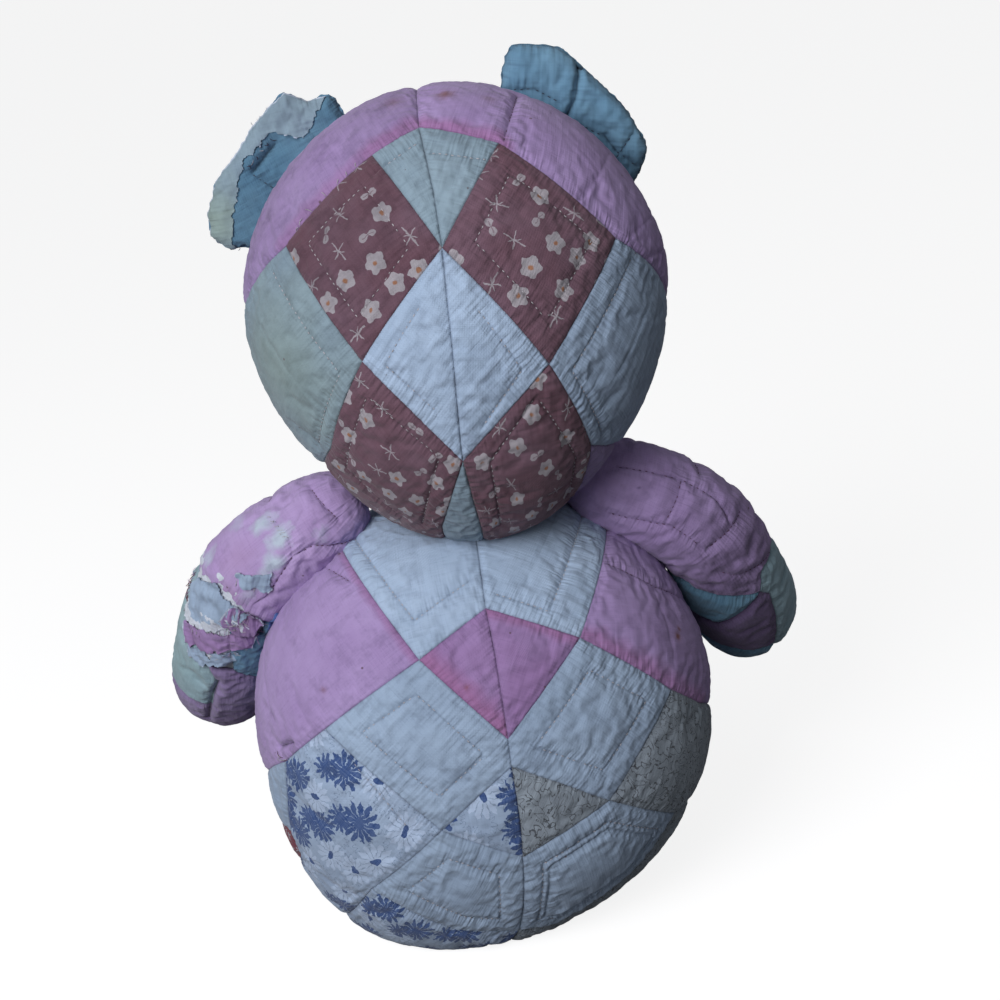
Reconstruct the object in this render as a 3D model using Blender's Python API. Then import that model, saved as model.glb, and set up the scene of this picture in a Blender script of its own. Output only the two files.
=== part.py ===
# Seated teddy bear sewn from an old patchwork quilt.
# Metres, +Z up. The bear sits on z = 0 and faces -Y; its own left side is +X.
import math

import bmesh
import bpy
from mathutils import Vector

# Cloth and sewing
CLOTH = 0.004            # quilt cloth: printed top, wadding and backing together
EAR_CLOTH = 0.003
JOIN_GAP = 0.0003        # air between two pieces that are sewn against each other
THREAD_RADIUS = 0.0016   # the thick thread of the mouth

# Head: a full ball that narrows to the chin, sewn to the body by a flat neck
HEAD_CENTRE = Vector((-0.0125, 0.020, 0.450))
HEAD_SIZE = Vector((0.283, 0.236, 0.306))
HEAD_POWER = 2.0
HEAD_TAPER = 0.17        # how fast the head narrows towards its bottom
HEAD_TAPER_FROM = 0.29   # where that starts, above its middle, as a share of half its height
HEAD_SEAM = 0.056        # how far the centre seam runs to the bear's left, as a share of the half width
HEAD_RIM = (-0.06, -0.26)  # where the seam round the head lies, low down and at the crown, forwards below 0
NECK_Z = 0.308           # height of the seam between head and body

# Body: an egg with a flattened seat, fuller low down on the bear's left
BODY_CENTRE = Vector((0.006, 0.0, 0.154))
BODY_SIZE = Vector((0.326, 0.268, 0.360))
BODY_POWER = 2.08
BODY_TAPER = 0.91        # height of the upper half, as a share of the lower half's
BODY_SEAM = -0.063       # the body's centre seam runs a little to the bear's right
BODY_RIM = (-0.11, -0.11)  # where its side seams lie, as on the head
SEAT_LEAN = 0.030        # how far the bottom of the body leans to the bear's left

# Arms: from the shoulder out, down and forwards; the paws hang over the thighs
ARM_PATH = [(0.074, -0.003, 0.329), (0.158, -0.014, 0.275), (0.192, -0.060, 0.198), (0.209, -0.124, 0.138)]
ARM_RADIUS = 0.033
PAW_RADIUS = 0.041

# Legs: straight out in front, resting on the ground, with upright flat soles
LEG_PATH = [(0.090, -0.010, 0.055), (0.094, -0.120, 0.055), (0.102, -0.230, 0.058), (0.104, -0.340, 0.066)]
LEG_RADIUS = 0.053
FOOT_RISE = 0.40         # how much taller than wide the leg is at the foot, as a share
LEFT_THIGH_SHIFT = 0.030   # the left thigh sits further out
SOLE_Y = -0.300
SOLE_SIZE = Vector((0.088, 0.003, 0.108))

# Ears: flat pads that stand on the head's upper corners
EAR_CENTRE = Vector((0.089, -0.016, 0.550))
EAR_MIDDLE_X = -0.004    # the ears' middle line
EAR_SIZE = Vector((0.132, 0.022, 0.098))
EAR_POWER = 2.7
EAR_TURN = math.radians(45)     # how far the ear leans outwards from upright

# Face
MUZZLE_CENTRE = HEAD_CENTRE + Vector((HEAD_SEAM * HEAD_SIZE.x / 2, -0.108, -0.033))
MUZZLE_SIZE = Vector((0.104, 0.080, 0.080))
MUZZLE_POWER = 2.0
NOSE_CENTRE = MUZZLE_CENTRE + Vector((0.0, -0.038, 0.014))
NOSE_SIZE = Vector((0.032, 0.016, 0.020))
NOSE_POWER = 2.4
EYE_AIM = Vector((0.35, -0.92, 0.18))    # from the middle of the head to the left eye
EYE_RADIUS = 0.011
EYE_FACE = 0.85          # radius of the button's face, as a share of the radius of its back
EYE_THICKNESS = 0.007
EYE_PROUD = 0.004        # how far the button's face stands off the head
MOUTH_WIDTH = 0.044
MOUTH_SAG = 0.010
MOUTH_RISE = -0.010      # the mouth's corners, from the middle of the muzzle

LIMB_POWER = 5           # how blunt the ends of the arms and legs are

# Fineness of the meshes
BALL_CUTS = 5            # cuts across each side of the cube that a ball starts from
LIMB_SEGMENTS = 16
LIMB_RINGS = 12
EAR_RINGS = 8
ROUND_SEGMENTS = 24      # sides of the soles and the eyes
MOUTH_POINTS = 9
PATH_STEP = 0.02         # share of a limb's path over which its direction is taken
SPLIT_STEP = 0.01        # step of the unit sphere over which a split's direction is taken
TINY = 1e-6
SMOOTH_BELOW = math.radians(40)

COLOURS = {
    "rose_cotton": (0.46, 0.27, 0.44),
    "maroon_print": (0.17, 0.07, 0.07),
    "white_cotton": (0.55, 0.60, 0.66),
    "blue_cotton": (0.17, 0.30, 0.40),
    "wadding": (0.70, 0.72, 0.74),
    "black_plastic": (0.02, 0.02, 0.02),
    "black_thread": (0.03, 0.02, 0.02),
}
ROUGHNESS = {"black_plastic": 0.25}
CLOTH_ROUGHNESS = 0.9


def clear_scene():
    for old in list(bpy.data.objects):
        bpy.data.objects.remove(old, do_unlink=True)


def new_collection(name):
    made = bpy.data.collections.new(name)
    bpy.context.scene.collection.children.link(made)
    return made


def material(name):
    found = bpy.data.materials.get(name)
    if found:
        return found
    made = bpy.data.materials.new(name)
    made.use_nodes = True
    shader = made.node_tree.nodes["Principled BSDF"]
    shader.inputs["Base Color"].default_value = (*COLOURS[name], 1.0)
    shader.inputs["Roughness"].default_value = ROUGHNESS.get(name, CLOTH_ROUGHNESS)
    shader.inputs["Metallic"].default_value = 0.0
    return made


def finish(name, bm, material_name, collection):
    """Turn a bmesh into a named object with its own material."""
    bmesh.ops.recalc_face_normals(bm, faces=bm.faces)
    mesh = bpy.data.meshes.new(name)
    bm.to_mesh(mesh)
    bm.free()
    mesh.shade_smooth()
    mesh.set_sharp_from_angle(angle=SMOOTH_BELOW)
    if material_name:
        mesh.materials.append(material(material_name))
    made = bpy.data.objects.new(name, mesh)
    collection.objects.link(made)
    return made


# Closed forms: each takes a point of the unit sphere and gives the point of the form

def rounded(direction, size, power):
    """A ball squared off by its power, with the given full sizes."""
    reach = sum(abs(c) ** power for c in direction) ** (-1.0 / power)
    return Vector(c * reach * s / 2 for c, s in zip(direction, size))


def seams_moved(direction, seam, rim):
    """Slide the seams over the ball: the centre seam sideways and the rim seam forwards."""
    rim_here = rim[0] + (rim[1] - rim[0]) * (0.5 + 0.5 * direction.z)
    across = direction.x + seam * (1 - direction.x ** 2)
    along = direction.y + rim_here * (1 - direction.y ** 2)
    return Vector((across, along, direction.z)).normalized()


def head_form(direction):
    point = rounded(seams_moved(direction, HEAD_SEAM, HEAD_RIM), HEAD_SIZE, HEAD_POWER)
    point.x *= 1 - HEAD_TAPER * max(0.0, HEAD_TAPER_FROM - point.z / (HEAD_SIZE.z / 2)) ** 1.5
    point += HEAD_CENTRE
    point.z = max(point.z, NECK_Z + JOIN_GAP / 2)
    return point


def body_form(direction):
    point = rounded(seams_moved(direction, BODY_SEAM, BODY_RIM), BODY_SIZE, BODY_POWER)
    low = max(0.0, -point.z / (BODY_SIZE.z / 2))
    if point.z > 0:
        point.z *= BODY_TAPER
    point.x += SEAT_LEAN * low ** 2
    point += BODY_CENTRE
    point.z = min(max(point.z, 0.0), NECK_Z - JOIN_GAP / 2)
    return point


def muzzle_form(direction):
    return rounded(direction, MUZZLE_SIZE, MUZZLE_POWER) + MUZZLE_CENTRE


def nose_form(direction):
    return rounded(direction, NOSE_SIZE, NOSE_POWER) + NOSE_CENTRE


def ear_form(side):
    """The ear's own Z leans outwards; its own Y is its thickness."""
    def form(direction):
        flat = rounded(direction, EAR_SIZE, EAR_POWER)
        across = flat.x * math.cos(EAR_TURN) + flat.z * math.sin(EAR_TURN)
        up = flat.z * math.cos(EAR_TURN) - flat.x * math.sin(EAR_TURN)
        x = EAR_MIDDLE_X + side * (EAR_CENTRE.x + across)
        return Vector((x, EAR_CENTRE.y + flat.y, EAR_CENTRE.z + up))
    return form


def smooth_path(points, share):
    """A point on the smooth curve through the points, with share running from 0 to 1."""
    points = [Vector(p) for p in points]
    spans = len(points) - 1
    place = min(max(share, 0.0), 1.0) * spans
    index = min(int(place), spans - 1)
    t = place - index
    before = points[max(index - 1, 0)]
    start, end = points[index], points[index + 1]
    after = points[min(index + 2, spans)]
    return 0.5 * ((2 * start) + (end - before) * t + (2 * before - 5 * start + 4 * end - after) * t ** 2
                  + (3 * start - before - 3 * end + after) * t ** 3)


def limb_form(points, radius_at, side, level, end_shift=0.0, lowest=None, sole_y=None):
    """A tube with round ends along a path. Its ring's own Y keeps as near to level as the path lets it."""
    def form(direction):
        share = (direction.z + 1) / 2
        centre = smooth_path(points, share)
        ahead = smooth_path(points, share + PATH_STEP) - smooth_path(points, share - PATH_STEP)
        ahead.normalize()
        second = (level - ahead * level.dot(ahead)).normalized()
        first = second.cross(ahead)
        ring = math.hypot(direction.x, direction.y)
        full = max(0.0, 1 - abs(direction.z) ** LIMB_POWER) ** 0.5
        wide, tall = radius_at(share)
        if ring > TINY:
            centre = centre + first * (direction.x / ring * full * wide)
            centre = centre + second * (direction.y / ring * full * tall)
        centre.x += end_shift * (1 - share)
        if lowest is not None:
            centre.z = max(centre.z, lowest)
        if sole_y is not None:
            centre.y = max(centre.y, sole_y)
        return Vector((side * centre.x, centre.y, centre.z))
    return form


def arm_radius(share):
    radius = ARM_RADIUS + (PAW_RADIUS - ARM_RADIUS) * share
    return radius, radius


def leg_radius(share):
    return LEG_RADIUS, LEG_RADIUS * (1 + FOOT_RISE * share ** 2)


# Starting spheres

def ball_sphere():
    """A cube cut into squares and blown up to a unit sphere."""
    bm = bmesh.new()
    bmesh.ops.create_cube(bm, size=2.0)
    bmesh.ops.subdivide_edges(bm, edges=bm.edges, cuts=BALL_CUTS, use_grid_fill=True)
    for vert in bm.verts:
        vert.co = Vector(math.tan(c * math.pi / 4) for c in vert.co).normalized()
    return bm


def limb_sphere():
    bm = bmesh.new()
    bmesh.ops.create_uvsphere(bm, u_segments=LIMB_SEGMENTS, v_segments=LIMB_RINGS, radius=1.0)
    return bm


def ear_sphere():
    """A sphere whose poles lie along Y, so that its rings run round the ear's flat face."""
    bm = bmesh.new()
    bmesh.ops.create_uvsphere(bm, u_segments=LIMB_SEGMENTS, v_segments=EAR_RINGS, radius=1.0)
    for vert in bm.verts:
        vert.co = Vector((vert.co.x, -vert.co.z, vert.co.y))
    return bm


# Solids made from a form

def shaped(sphere, form):
    """The form's closed surface in triangles, with each vertex's unit direction and normal."""
    bm = sphere()
    units = [vert.co.copy() for vert in bm.verts]
    for vert in bm.verts:
        vert.co = form(vert.co)
    bmesh.ops.triangulate(bm, faces=bm.faces, quad_method="SHORT_EDGE")
    bmesh.ops.recalc_face_normals(bm, faces=bm.faces)
    bm.normal_update()
    bm.verts.index_update()
    normals = [vert.normal.copy() for vert in bm.verts]
    return bm, units, normals


def solid(name, sphere, form, inset, material_name, collection):
    """A closed solid whose surface lies the inset inside the form."""
    bm, _, normals = shaped(sphere, form)
    for vert, normal in zip(bm.verts, normals):
        vert.co -= normal * inset
    return finish(name, bm, material_name, collection)


def across_split(form, unit, axis):
    """The direction in which the form runs across its own split at a point."""
    step = Vector()
    step[axis] = SPLIT_STEP
    return (form((unit + step).normalized()) - form((unit - step).normalized())).normalized()


def panel(name, sphere, form, halves, thickness, material_name, collection):
    """A shell over the part of the form on one side of each split, given as (axis, sign)."""
    bm, units, normals = shaped(sphere, form)
    unwanted = []
    for face in bm.faces:
        middle = sum((units[vert.index] for vert in face.verts), Vector()) / len(face.verts)
        if any(middle[axis] * sign < 0 for axis, sign in halves):
            unwanted.append(face)
    inward = bm.verts.layers.float_vector.new("inward")
    for vert in bm.verts:
        depth = normals[vert.index] * -thickness
        for axis, sign in halves:
            if abs(units[vert.index][axis]) < TINY:
                across = across_split(form, units[vert.index], axis)
                vert.co += across * sign * JOIN_GAP / 2
                depth -= across * depth.dot(across)
        vert[inward] = depth
    bmesh.ops.delete(bm, geom=unwanted, context="FACES")
    outer = list(bm.faces)
    rim = [edge for edge in bm.edges if edge.is_boundary]
    walls = bmesh.ops.extrude_edge_only(bm, edges=rim)["geom"]
    lining = bmesh.ops.duplicate(bm, geom=outer)["geom"]
    moved = {item for item in walls + lining if isinstance(item, bmesh.types.BMVert)}
    for vert in moved:
        vert.co += Vector(vert[inward])
    bmesh.ops.reverse_faces(bm, faces=[item for item in lining if isinstance(item, bmesh.types.BMFace)])
    bmesh.ops.remove_doubles(bm, verts=list(moved), dist=TINY)
    bmesh.ops.triangulate(bm, faces=bm.faces, quad_method="SHORT_EDGE")
    bm.verts.layers.float_vector.remove(inward)
    return finish(name, bm, material_name, collection)


def cutter(name, sphere, form, collection):
    """The room that a form takes, with the sewing gap around it."""
    made = solid(name, sphere, form, -JOIN_GAP, None, collection)
    made.hide_render = True
    made.display_type = "WIRE"
    return made


def cut_away(piece, *cutters):
    for tool in cutters:
        cut = piece.modifiers.new("fit to " + tool.name, "BOOLEAN")
        cut.operation = "DIFFERENCE"
        cut.solver = "EXACT"
        cut.object = tool


# The bear's pieces. A half is named by the axis that it is split across and the side that it keeps.

LEFT, RIGHT = (0, 1), (0, -1)
BACK, FRONT = (1, 1), (1, -1)
OUTER, INNER = (0, 1), (0, -1)


def make_head(parts, cutters):
    for side, half in (("left", LEFT), ("right", RIGHT)):
        panel(f"head_back_{side}", ball_sphere, head_form, [half, BACK], CLOTH, "maroon_print", parts)
        panel(f"head_front_{side}", ball_sphere, head_form, [half, FRONT], CLOTH, "rose_cotton", parts)
    solid("head_stuffing", ball_sphere, head_form, CLOTH + JOIN_GAP, "wadding", parts)
    return cutter("head_room", ball_sphere, head_form, cutters)


def make_body(parts, cutters):
    for side, half in (("left", LEFT), ("right", RIGHT)):
        panel(f"body_back_{side}", ball_sphere, body_form, [half, BACK], CLOTH, "white_cotton", parts)
        panel(f"body_front_{side}", ball_sphere, body_form, [half, FRONT], CLOTH, "rose_cotton", parts)
    solid("body_stuffing", ball_sphere, body_form, CLOTH + JOIN_GAP, "wadding", parts)
    return cutter("body_room", ball_sphere, body_form, cutters)


def make_arm(name, side, parts, rooms):
    form = limb_form(ARM_PATH, arm_radius, side, Vector((0, 1, 0)))
    made = [panel(f"arm_{name}_back", limb_sphere, form, [BACK], CLOTH, "rose_cotton", parts),
            panel(f"arm_{name}_front", limb_sphere, form, [FRONT], CLOTH, "rose_cotton", parts),
            solid(f"arm_{name}_stuffing", limb_sphere, form, CLOTH + JOIN_GAP, "wadding", parts)]
    for piece in made:
        cut_away(piece, *rooms)


def make_leg(name, side, parts, rooms):
    shift = LEFT_THIGH_SHIFT if name == "left" else 0.0
    form = limb_form(LEG_PATH, leg_radius, side, Vector((0, 0, 1)), shift, lowest=0.0, sole_y=SOLE_Y)
    made = [panel(f"leg_{name}_outer", limb_sphere, form, [OUTER], CLOTH, "white_cotton", parts),
            panel(f"leg_{name}_inner", limb_sphere, form, [INNER], CLOTH, "white_cotton", parts),
            solid(f"leg_{name}_stuffing", limb_sphere, form, CLOTH + JOIN_GAP, "wadding", parts)]
    for piece in made:
        cut_away(piece, *rooms)
    make_sole(name, side, parts)


def make_sole(name, side, parts):
    """An oval of cloth sewn over the flat end of the foot."""
    end = Vector(LEG_PATH[-1])
    bm = bmesh.new()
    bmesh.ops.create_cone(bm, cap_ends=True, segments=ROUND_SEGMENTS, radius1=0.5, radius2=0.5, depth=1.0)
    middle = Vector((side * end.x, SOLE_Y - JOIN_GAP - SOLE_SIZE.y / 2, end.z))
    for vert in bm.verts:
        x, y, z = vert.co
        vert.co = middle + Vector((x * SOLE_SIZE.x, z * SOLE_SIZE.y, y * SOLE_SIZE.z))
    finish(f"sole_{name}", bm, "maroon_print", parts)


def make_ear(name, side, parts, head_room):
    form = ear_form(side)
    made = [panel(f"ear_{name}_back", ear_sphere, form, [BACK], EAR_CLOTH, "blue_cotton", parts),
            panel(f"ear_{name}_front", ear_sphere, form, [FRONT], EAR_CLOTH, "blue_cotton", parts),
            solid(f"ear_{name}_batting", ear_sphere, form, EAR_CLOTH + JOIN_GAP, "wadding", parts)]
    for piece in made:
        cut_away(piece, head_room)


def make_face(parts, cutters, head_room):
    muzzle = solid("muzzle", limb_sphere, muzzle_form, 0.0, "white_cotton", parts)
    cut_away(muzzle, head_room)
    muzzle_room = cutter("muzzle_room", limb_sphere, muzzle_form, cutters)
    nose = solid("nose", limb_sphere, nose_form, 0.0, "black_thread", parts)
    cut_away(nose, muzzle_room)
    make_mouth(parts, muzzle_room)
    for name, side in (("left", 1), ("right", -1)):
        make_eye(name, side, parts, head_room)


def front_of(form_centre, form_size, x, z):
    """The foremost y of an egg-shaped form at x and z."""
    share = ((x - form_centre.x) / (form_size.x / 2)) ** 2 + ((z - form_centre.z) / (form_size.z / 2)) ** 2
    return form_centre.y - form_size.y / 2 * math.sqrt(max(0.0, 1 - share))


def make_mouth(parts, muzzle_room):
    """One thick stitched line that smiles across the muzzle."""
    curve = bpy.data.curves.new("mouth line", "CURVE")
    curve.dimensions = "3D"
    curve.bevel_depth = THREAD_RADIUS
    curve.bevel_resolution = 2
    curve.use_fill_caps = True
    line = curve.splines.new("POLY")
    line.points.add(MOUTH_POINTS - 1)
    for index, point in enumerate(line.points):
        share = 2 * index / (MOUTH_POINTS - 1) - 1
        x = MUZZLE_CENTRE.x + share * MOUTH_WIDTH / 2
        z = MUZZLE_CENTRE.z + MOUTH_RISE - MOUTH_SAG * (1 - share * share)
        y = front_of(MUZZLE_CENTRE, MUZZLE_SIZE, x, z) - THREAD_RADIUS / 2
        point.co = (x, y, z, 1.0)
    drawn = bpy.data.objects.new("mouth line", curve)
    parts.objects.link(drawn)
    mesh = bpy.data.meshes.new_from_object(drawn.evaluated_get(bpy.context.evaluated_depsgraph_get()))
    bpy.data.objects.remove(drawn, do_unlink=True)
    bm = bmesh.new()
    bm.from_mesh(mesh)
    bmesh.ops.remove_doubles(bm, verts=bm.verts, dist=TINY)
    mouth = finish("mouth", bm, "black_thread", parts)
    cut_away(mouth, muzzle_room)


def make_eye(name, side, parts, head_room):
    """A round button whose back is shaped to the head that it is sewn to."""
    place = head_form(Vector((side * EYE_AIM.x, EYE_AIM.y, EYE_AIM.z)).normalized())
    outward = place - HEAD_CENTRE
    outward = Vector(c / s ** 2 for c, s in zip(outward, HEAD_SIZE)).normalized()
    bm = bmesh.new()
    bmesh.ops.create_cone(bm, cap_ends=True, segments=ROUND_SEGMENTS, radius1=EYE_RADIUS,
                          radius2=EYE_RADIUS * EYE_FACE, depth=EYE_THICKNESS)
    turn = outward.to_track_quat("Z", "Y")
    middle = place + outward * (EYE_PROUD - EYE_THICKNESS / 2)
    for vert in bm.verts:
        vert.co = middle + turn @ vert.co
    eye = finish(f"eye_{name}", bm, "black_plastic", parts)
    cut_away(eye, head_room)


def main():
    clear_scene()
    parts = new_collection("patchwork_teddy_bear")
    cutters = new_collection("patchwork_teddy_bear_cutters")
    head_room = make_head(parts, cutters)
    body_room = make_body(parts, cutters)
    make_face(parts, cutters, head_room)
    for name, side in (("left", 1), ("right", -1)):
        make_ear(name, side, parts, head_room)
        make_arm(name, side, parts, (body_room, head_room))
        make_leg(name, side, parts, (body_room,))
    bpy.context.view_layer.update()


main()
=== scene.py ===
import math
import random

import bmesh
import bpy
import numpy as np
from mathutils import Matrix, Quaternion, Vector


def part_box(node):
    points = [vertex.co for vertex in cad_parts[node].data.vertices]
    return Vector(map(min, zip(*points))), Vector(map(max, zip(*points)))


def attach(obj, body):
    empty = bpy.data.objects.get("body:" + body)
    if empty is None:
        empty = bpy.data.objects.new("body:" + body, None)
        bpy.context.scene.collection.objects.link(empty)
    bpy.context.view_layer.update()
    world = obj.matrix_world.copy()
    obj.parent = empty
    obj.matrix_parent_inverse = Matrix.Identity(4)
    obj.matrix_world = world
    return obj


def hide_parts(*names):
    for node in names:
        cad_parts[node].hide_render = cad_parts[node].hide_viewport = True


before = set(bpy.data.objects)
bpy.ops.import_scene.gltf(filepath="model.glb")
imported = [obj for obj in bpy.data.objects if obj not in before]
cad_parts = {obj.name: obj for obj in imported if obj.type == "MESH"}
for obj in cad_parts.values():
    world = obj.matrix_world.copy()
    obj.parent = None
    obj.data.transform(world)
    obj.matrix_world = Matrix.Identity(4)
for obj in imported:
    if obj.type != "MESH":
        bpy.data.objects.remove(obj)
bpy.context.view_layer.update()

# Teddy bear cut from an old patchwork quilt: stuffed, quilted all over, worn through on one arm and one ear.
# Metres, +Z up. The bear sits on z = 0 and faces -Y, so its own left side is +X.
# Patches are laid out on flat charts in millimetres and then laid over the forms of the stuffed parts.

scene = bpy.context.scene
mm = 0.001


def say(text):
    print("bear:", text, flush=True)


# Camera, floor and light

studio = {"middle": (-0.0105, 0.0, 0.3129), "distance": 1.35, "width": 0.70, "height": 20.0, "roll": 7.5, "aside": 0.02,
          "around": 0.16, "floor": 60.0}
lamps = {"window": {"power": 47.0, "place": (1.02, 1.64, 1.42), "size": 1.2},
         "ceiling": {"power": 3.0, "place": (0.1, 0.9, 1.9), "size": 1.6}}


def aimed(place, at):
    return (Vector(at) - Vector(place)).to_track_quat("-Z", "Y")


def makeStudio():
    tilt = math.radians(studio["height"])
    middle = Vector(studio["middle"])
    data = bpy.data.cameras.new("camera")
    data.angle = 2 * math.atan(studio["width"] / 2 / studio["distance"])
    data.shift_x = studio["aside"]
    camera = bpy.data.objects.new("camera", data)
    camera.location = middle + Vector((0, math.cos(tilt), math.sin(tilt))) * studio["distance"]
    camera.rotation_mode = "QUATERNION"
    camera.rotation_quaternion = aimed(camera.location, middle) @ Quaternion((0, 0, 1), -math.radians(studio["roll"]))
    scene.collection.objects.link(camera)
    scene.camera = camera

    for name, how in lamps.items():
        lamp = bpy.data.lights.new(name, "AREA")
        lamp.shape, lamp.size, lamp.energy = "SQUARE", how["size"], how["power"]
        light = bpy.data.objects.new(name, lamp)
        light.location = how["place"]
        light.rotation_mode = "QUATERNION"
        light.rotation_quaternion = aimed(light.location, (0, 0, 0.3))
        scene.collection.objects.link(light)

    world = bpy.data.worlds.new("studio")
    world.use_nodes = True
    add = adder(world.node_tree)
    seen = add("LightPath")
    direct = add("Math", {0: seen.outputs["Is Camera Ray"], 1: seen.outputs["Is Glossy Ray"]}, operation="MAXIMUM")
    around = add("Background", {"Color": (0.94, 0.97, 1.0, 1), "Strength": studio["around"]})
    white = add("Background", {"Color": (1, 1, 1, 1), "Strength": 1.0})
    both = add("MixShader", {0: direct, 1: around, 2: white})
    add("OutputWorld", {"Surface": both})
    scene.world = world
    scene.view_settings.view_transform = "Standard"

    bm = bmesh.new()
    bmesh.ops.create_grid(bm, x_segments=1, y_segments=1, size=studio["floor"] / 2)
    floor = newPiece("floor", bm, [paperFloor()])
    return floor


# Materials: colours are written as sRGB hex values

def colour(code):
    parts = [int(code[k:k + 2], 16) / 255 for k in (1, 3, 5)]
    return tuple(p / 12.92 if p <= 0.04045 else ((p + 0.055) / 1.055) ** 2.4 for p in parts) + (1.0,)


def adder(tree):
    # gives add, which adds a node to the tree; links has a value, a node or an output for each of its inputs
    def add(kind, links=None, **settings):
        node = tree.nodes.new("ShaderNode" + kind)
        for name, value in settings.items():
            setattr(node, name, value)
        for place, value in (links or {}).items():
            if isinstance(value, bpy.types.Node):
                value = next(out for out in value.outputs if out.enabled)
            if isinstance(value, bpy.types.NodeSocket):
                tree.links.new(value, node.inputs[place])
            else:
                node.inputs[place].default_value = value
        return node

    tree.nodes.clear()
    return add


def newMaterial(name):
    made = bpy.data.materials.new(name)
    made.use_nodes = True
    return made, adder(made.node_tree)


def newPiece(name, bm, materials):
    mesh = bpy.data.meshes.new(name)
    bm.to_mesh(mesh)
    bm.free()
    mesh.shade_smooth()
    for material in materials:
        mesh.materials.append(material)
    made = bpy.data.objects.new(name, mesh)
    scene.collection.objects.link(made)
    return made


def paperFloor():
    # matt white studio paper: near white to the camera, and it keeps the bear's shadow
    made, add = newMaterial("matt_studio_paper")
    place = add("TexCoord").outputs["Object"]
    fibre = add("TexNoise", {"Vector": place, "Scale": 900.0, "Detail": 3.0})
    tone = add("Mix", {0: fibre, 6: colour("#646466"), 7: colour("#6c6c6e")}, data_type="RGBA")
    bump = add("Bump", {"Height": fibre, "Strength": 0.2, "Distance": 0.0002})
    paper = add("BsdfPrincipled", {"Base Color": tone, "Roughness": 0.95, "Normal": bump, "Specular IOR Level": 0.1})
    shaded = add("BsdfDiffuse", {"Color": colour("#8c8c8e")})
    glow = add("Emission", {"Color": (1, 1, 1, 1), "Strength": 0.86})
    shown = add("AddShader", {0: shaded, 1: glow})
    seen = add("LightPath").outputs["Is Camera Ray"]
    add("OutputMaterial", {"Surface": add("MixShader", {0: seen, 1: paper, 2: shown})})
    return made


# Forms of the stuffed parts

def boxOf(*nodes):
    boxes = [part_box(node) for node in nodes]
    low = Vector([min(box[0][k] for box in boxes) for k in range(3)])
    high = Vector([max(box[1][k] for box in boxes) for k in range(3)])
    return low, high


def unit(v):
    return v / np.maximum(np.linalg.norm(v, axis=-1, keepdims=True), 1e-12)


def rounded(directions, size, power):
    reach = (np.abs(directions) ** power).sum(1) ** (-1.0 / power)
    return directions * reach[:, None] * np.array(size) / 2


headLow, headHigh = boxOf("head_back_left", "head_back_right", "head_front_left", "head_front_right")
bodyLow, bodyHigh = boxOf("body_back_left", "body_back_right", "body_front_left", "body_front_right")
neckZ = (headLow.z + bodyHigh.z) / 2
headForm = {"width": 0.283, "height": 0.306, "power": 2.0, "taper": 0.17, "taperFrom": 0.29,
            "rim": ((0, 1, 0.10), -0.16)}
bodyForm = {"width": 0.326, "middleX": 0.006, "height": 0.360, "power": 2.08, "taper": 0.91, "lean": 0.030,
            "rim": ((0, 1, 0), -0.11)}
armForm = {"path": [(0.074, -0.003, 0.329), (0.155, -0.014, 0.275), (0.191, -0.060, 0.198), (0.209, -0.124, 0.138)],
           "radius": (0.0345, 0.0415), "around": 0.040, "from": 8.8, "tall": 0.0, "level": (0, 1, 0), "shift": (0, 0)}
legForm = {"path": [(0.090, -0.010, 0.055), (0.094, -0.120, 0.055), (0.102, -0.230, 0.058), (0.104, -0.340, 0.066)],
           "radius": (0.053, 0.053), "around": 0.053, "tall": 0.40, "level": (0, 0, 1), "shift": (0.030,
                                                                                                  0), "sole": -0.300}


headSize = np.array((headForm["width"], headHigh.y - headLow.y, headForm["height"]))
headMiddle = np.array(((headHigh.x + headLow.x) / 2, (headHigh.y + headLow.y) / 2, headHigh.z - headSize[2] / 2))


def headTaper(high):
    return 1 - headForm["taper"] * np.maximum(0, headForm["taperFrom"] - high / (headSize[2] / 2)) ** 1.5


def headPoints(directions):
    points = rounded(directions, headSize, headForm["power"])
    points[:, 0] *= headTaper(points[:, 2])
    points += headMiddle
    points[:, 2] = np.maximum(points[:, 2], neckZ + 0.2 * mm)
    return points


def bodyPoints(directions):
    size = (bodyForm["width"], bodyHigh.y - bodyLow.y, bodyForm["height"])
    points = rounded(directions, size, bodyForm["power"])
    low = np.maximum(0, -points[:, 2] / (size[2] / 2))
    points[:, 2] *= np.where(points[:, 2] > 0, bodyForm["taper"], 1.0)
    points[:, 0] += bodyForm["lean"] * low ** 2
    points += (bodyForm["middleX"], (bodyHigh.y + bodyLow.y) / 2, neckZ / 2)
    points[:, 2] = np.clip(points[:, 2], 0.0, neckZ - 0.2 * mm)
    return points


class BallChart:
    # lays a flat chart over a ball, true in distance along every line through its middle

    def __init__(self, form, facing, tilt, radius):
        self.form, self.radius = form, radius
        lean = math.radians(tilt)
        self.axis = np.array((0.0, facing * math.cos(lean), math.sin(lean)))
        self.right = np.array((-facing, 0.0, 0.0))
        self.up = np.array((0.0, -facing * math.sin(lean), math.cos(lean)))

    def directions(self, xy):
        away = np.hypot(xy[:, 0], xy[:, 1])
        turn = away / self.radius
        share = np.where(away > 1e-9, np.sin(turn) / np.maximum(away, 1e-9), 1 / self.radius)
        return (np.cos(turn)[:, None] * self.axis + (share * xy[:, 0])[:, None] * self.right
                + (share * xy[:, 1])[:, None] * self.up)

    def flat(self, directions):
        turn = np.arccos(np.clip(unit(directions) @ self.axis, -1, 1))
        across, along = directions @ self.right, directions @ self.up
        away = np.maximum(np.hypot(across, along), 1e-9)
        return np.stack([across, along], 1) / away[:, None] * (turn * self.radius)[:, None]

    def points(self, xy):
        return self.form(self.directions(xy))

    def covers(self, xy):
        return np.hypot(xy[:, 0], xy[:, 1]) < self.radius * 2.7


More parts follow.
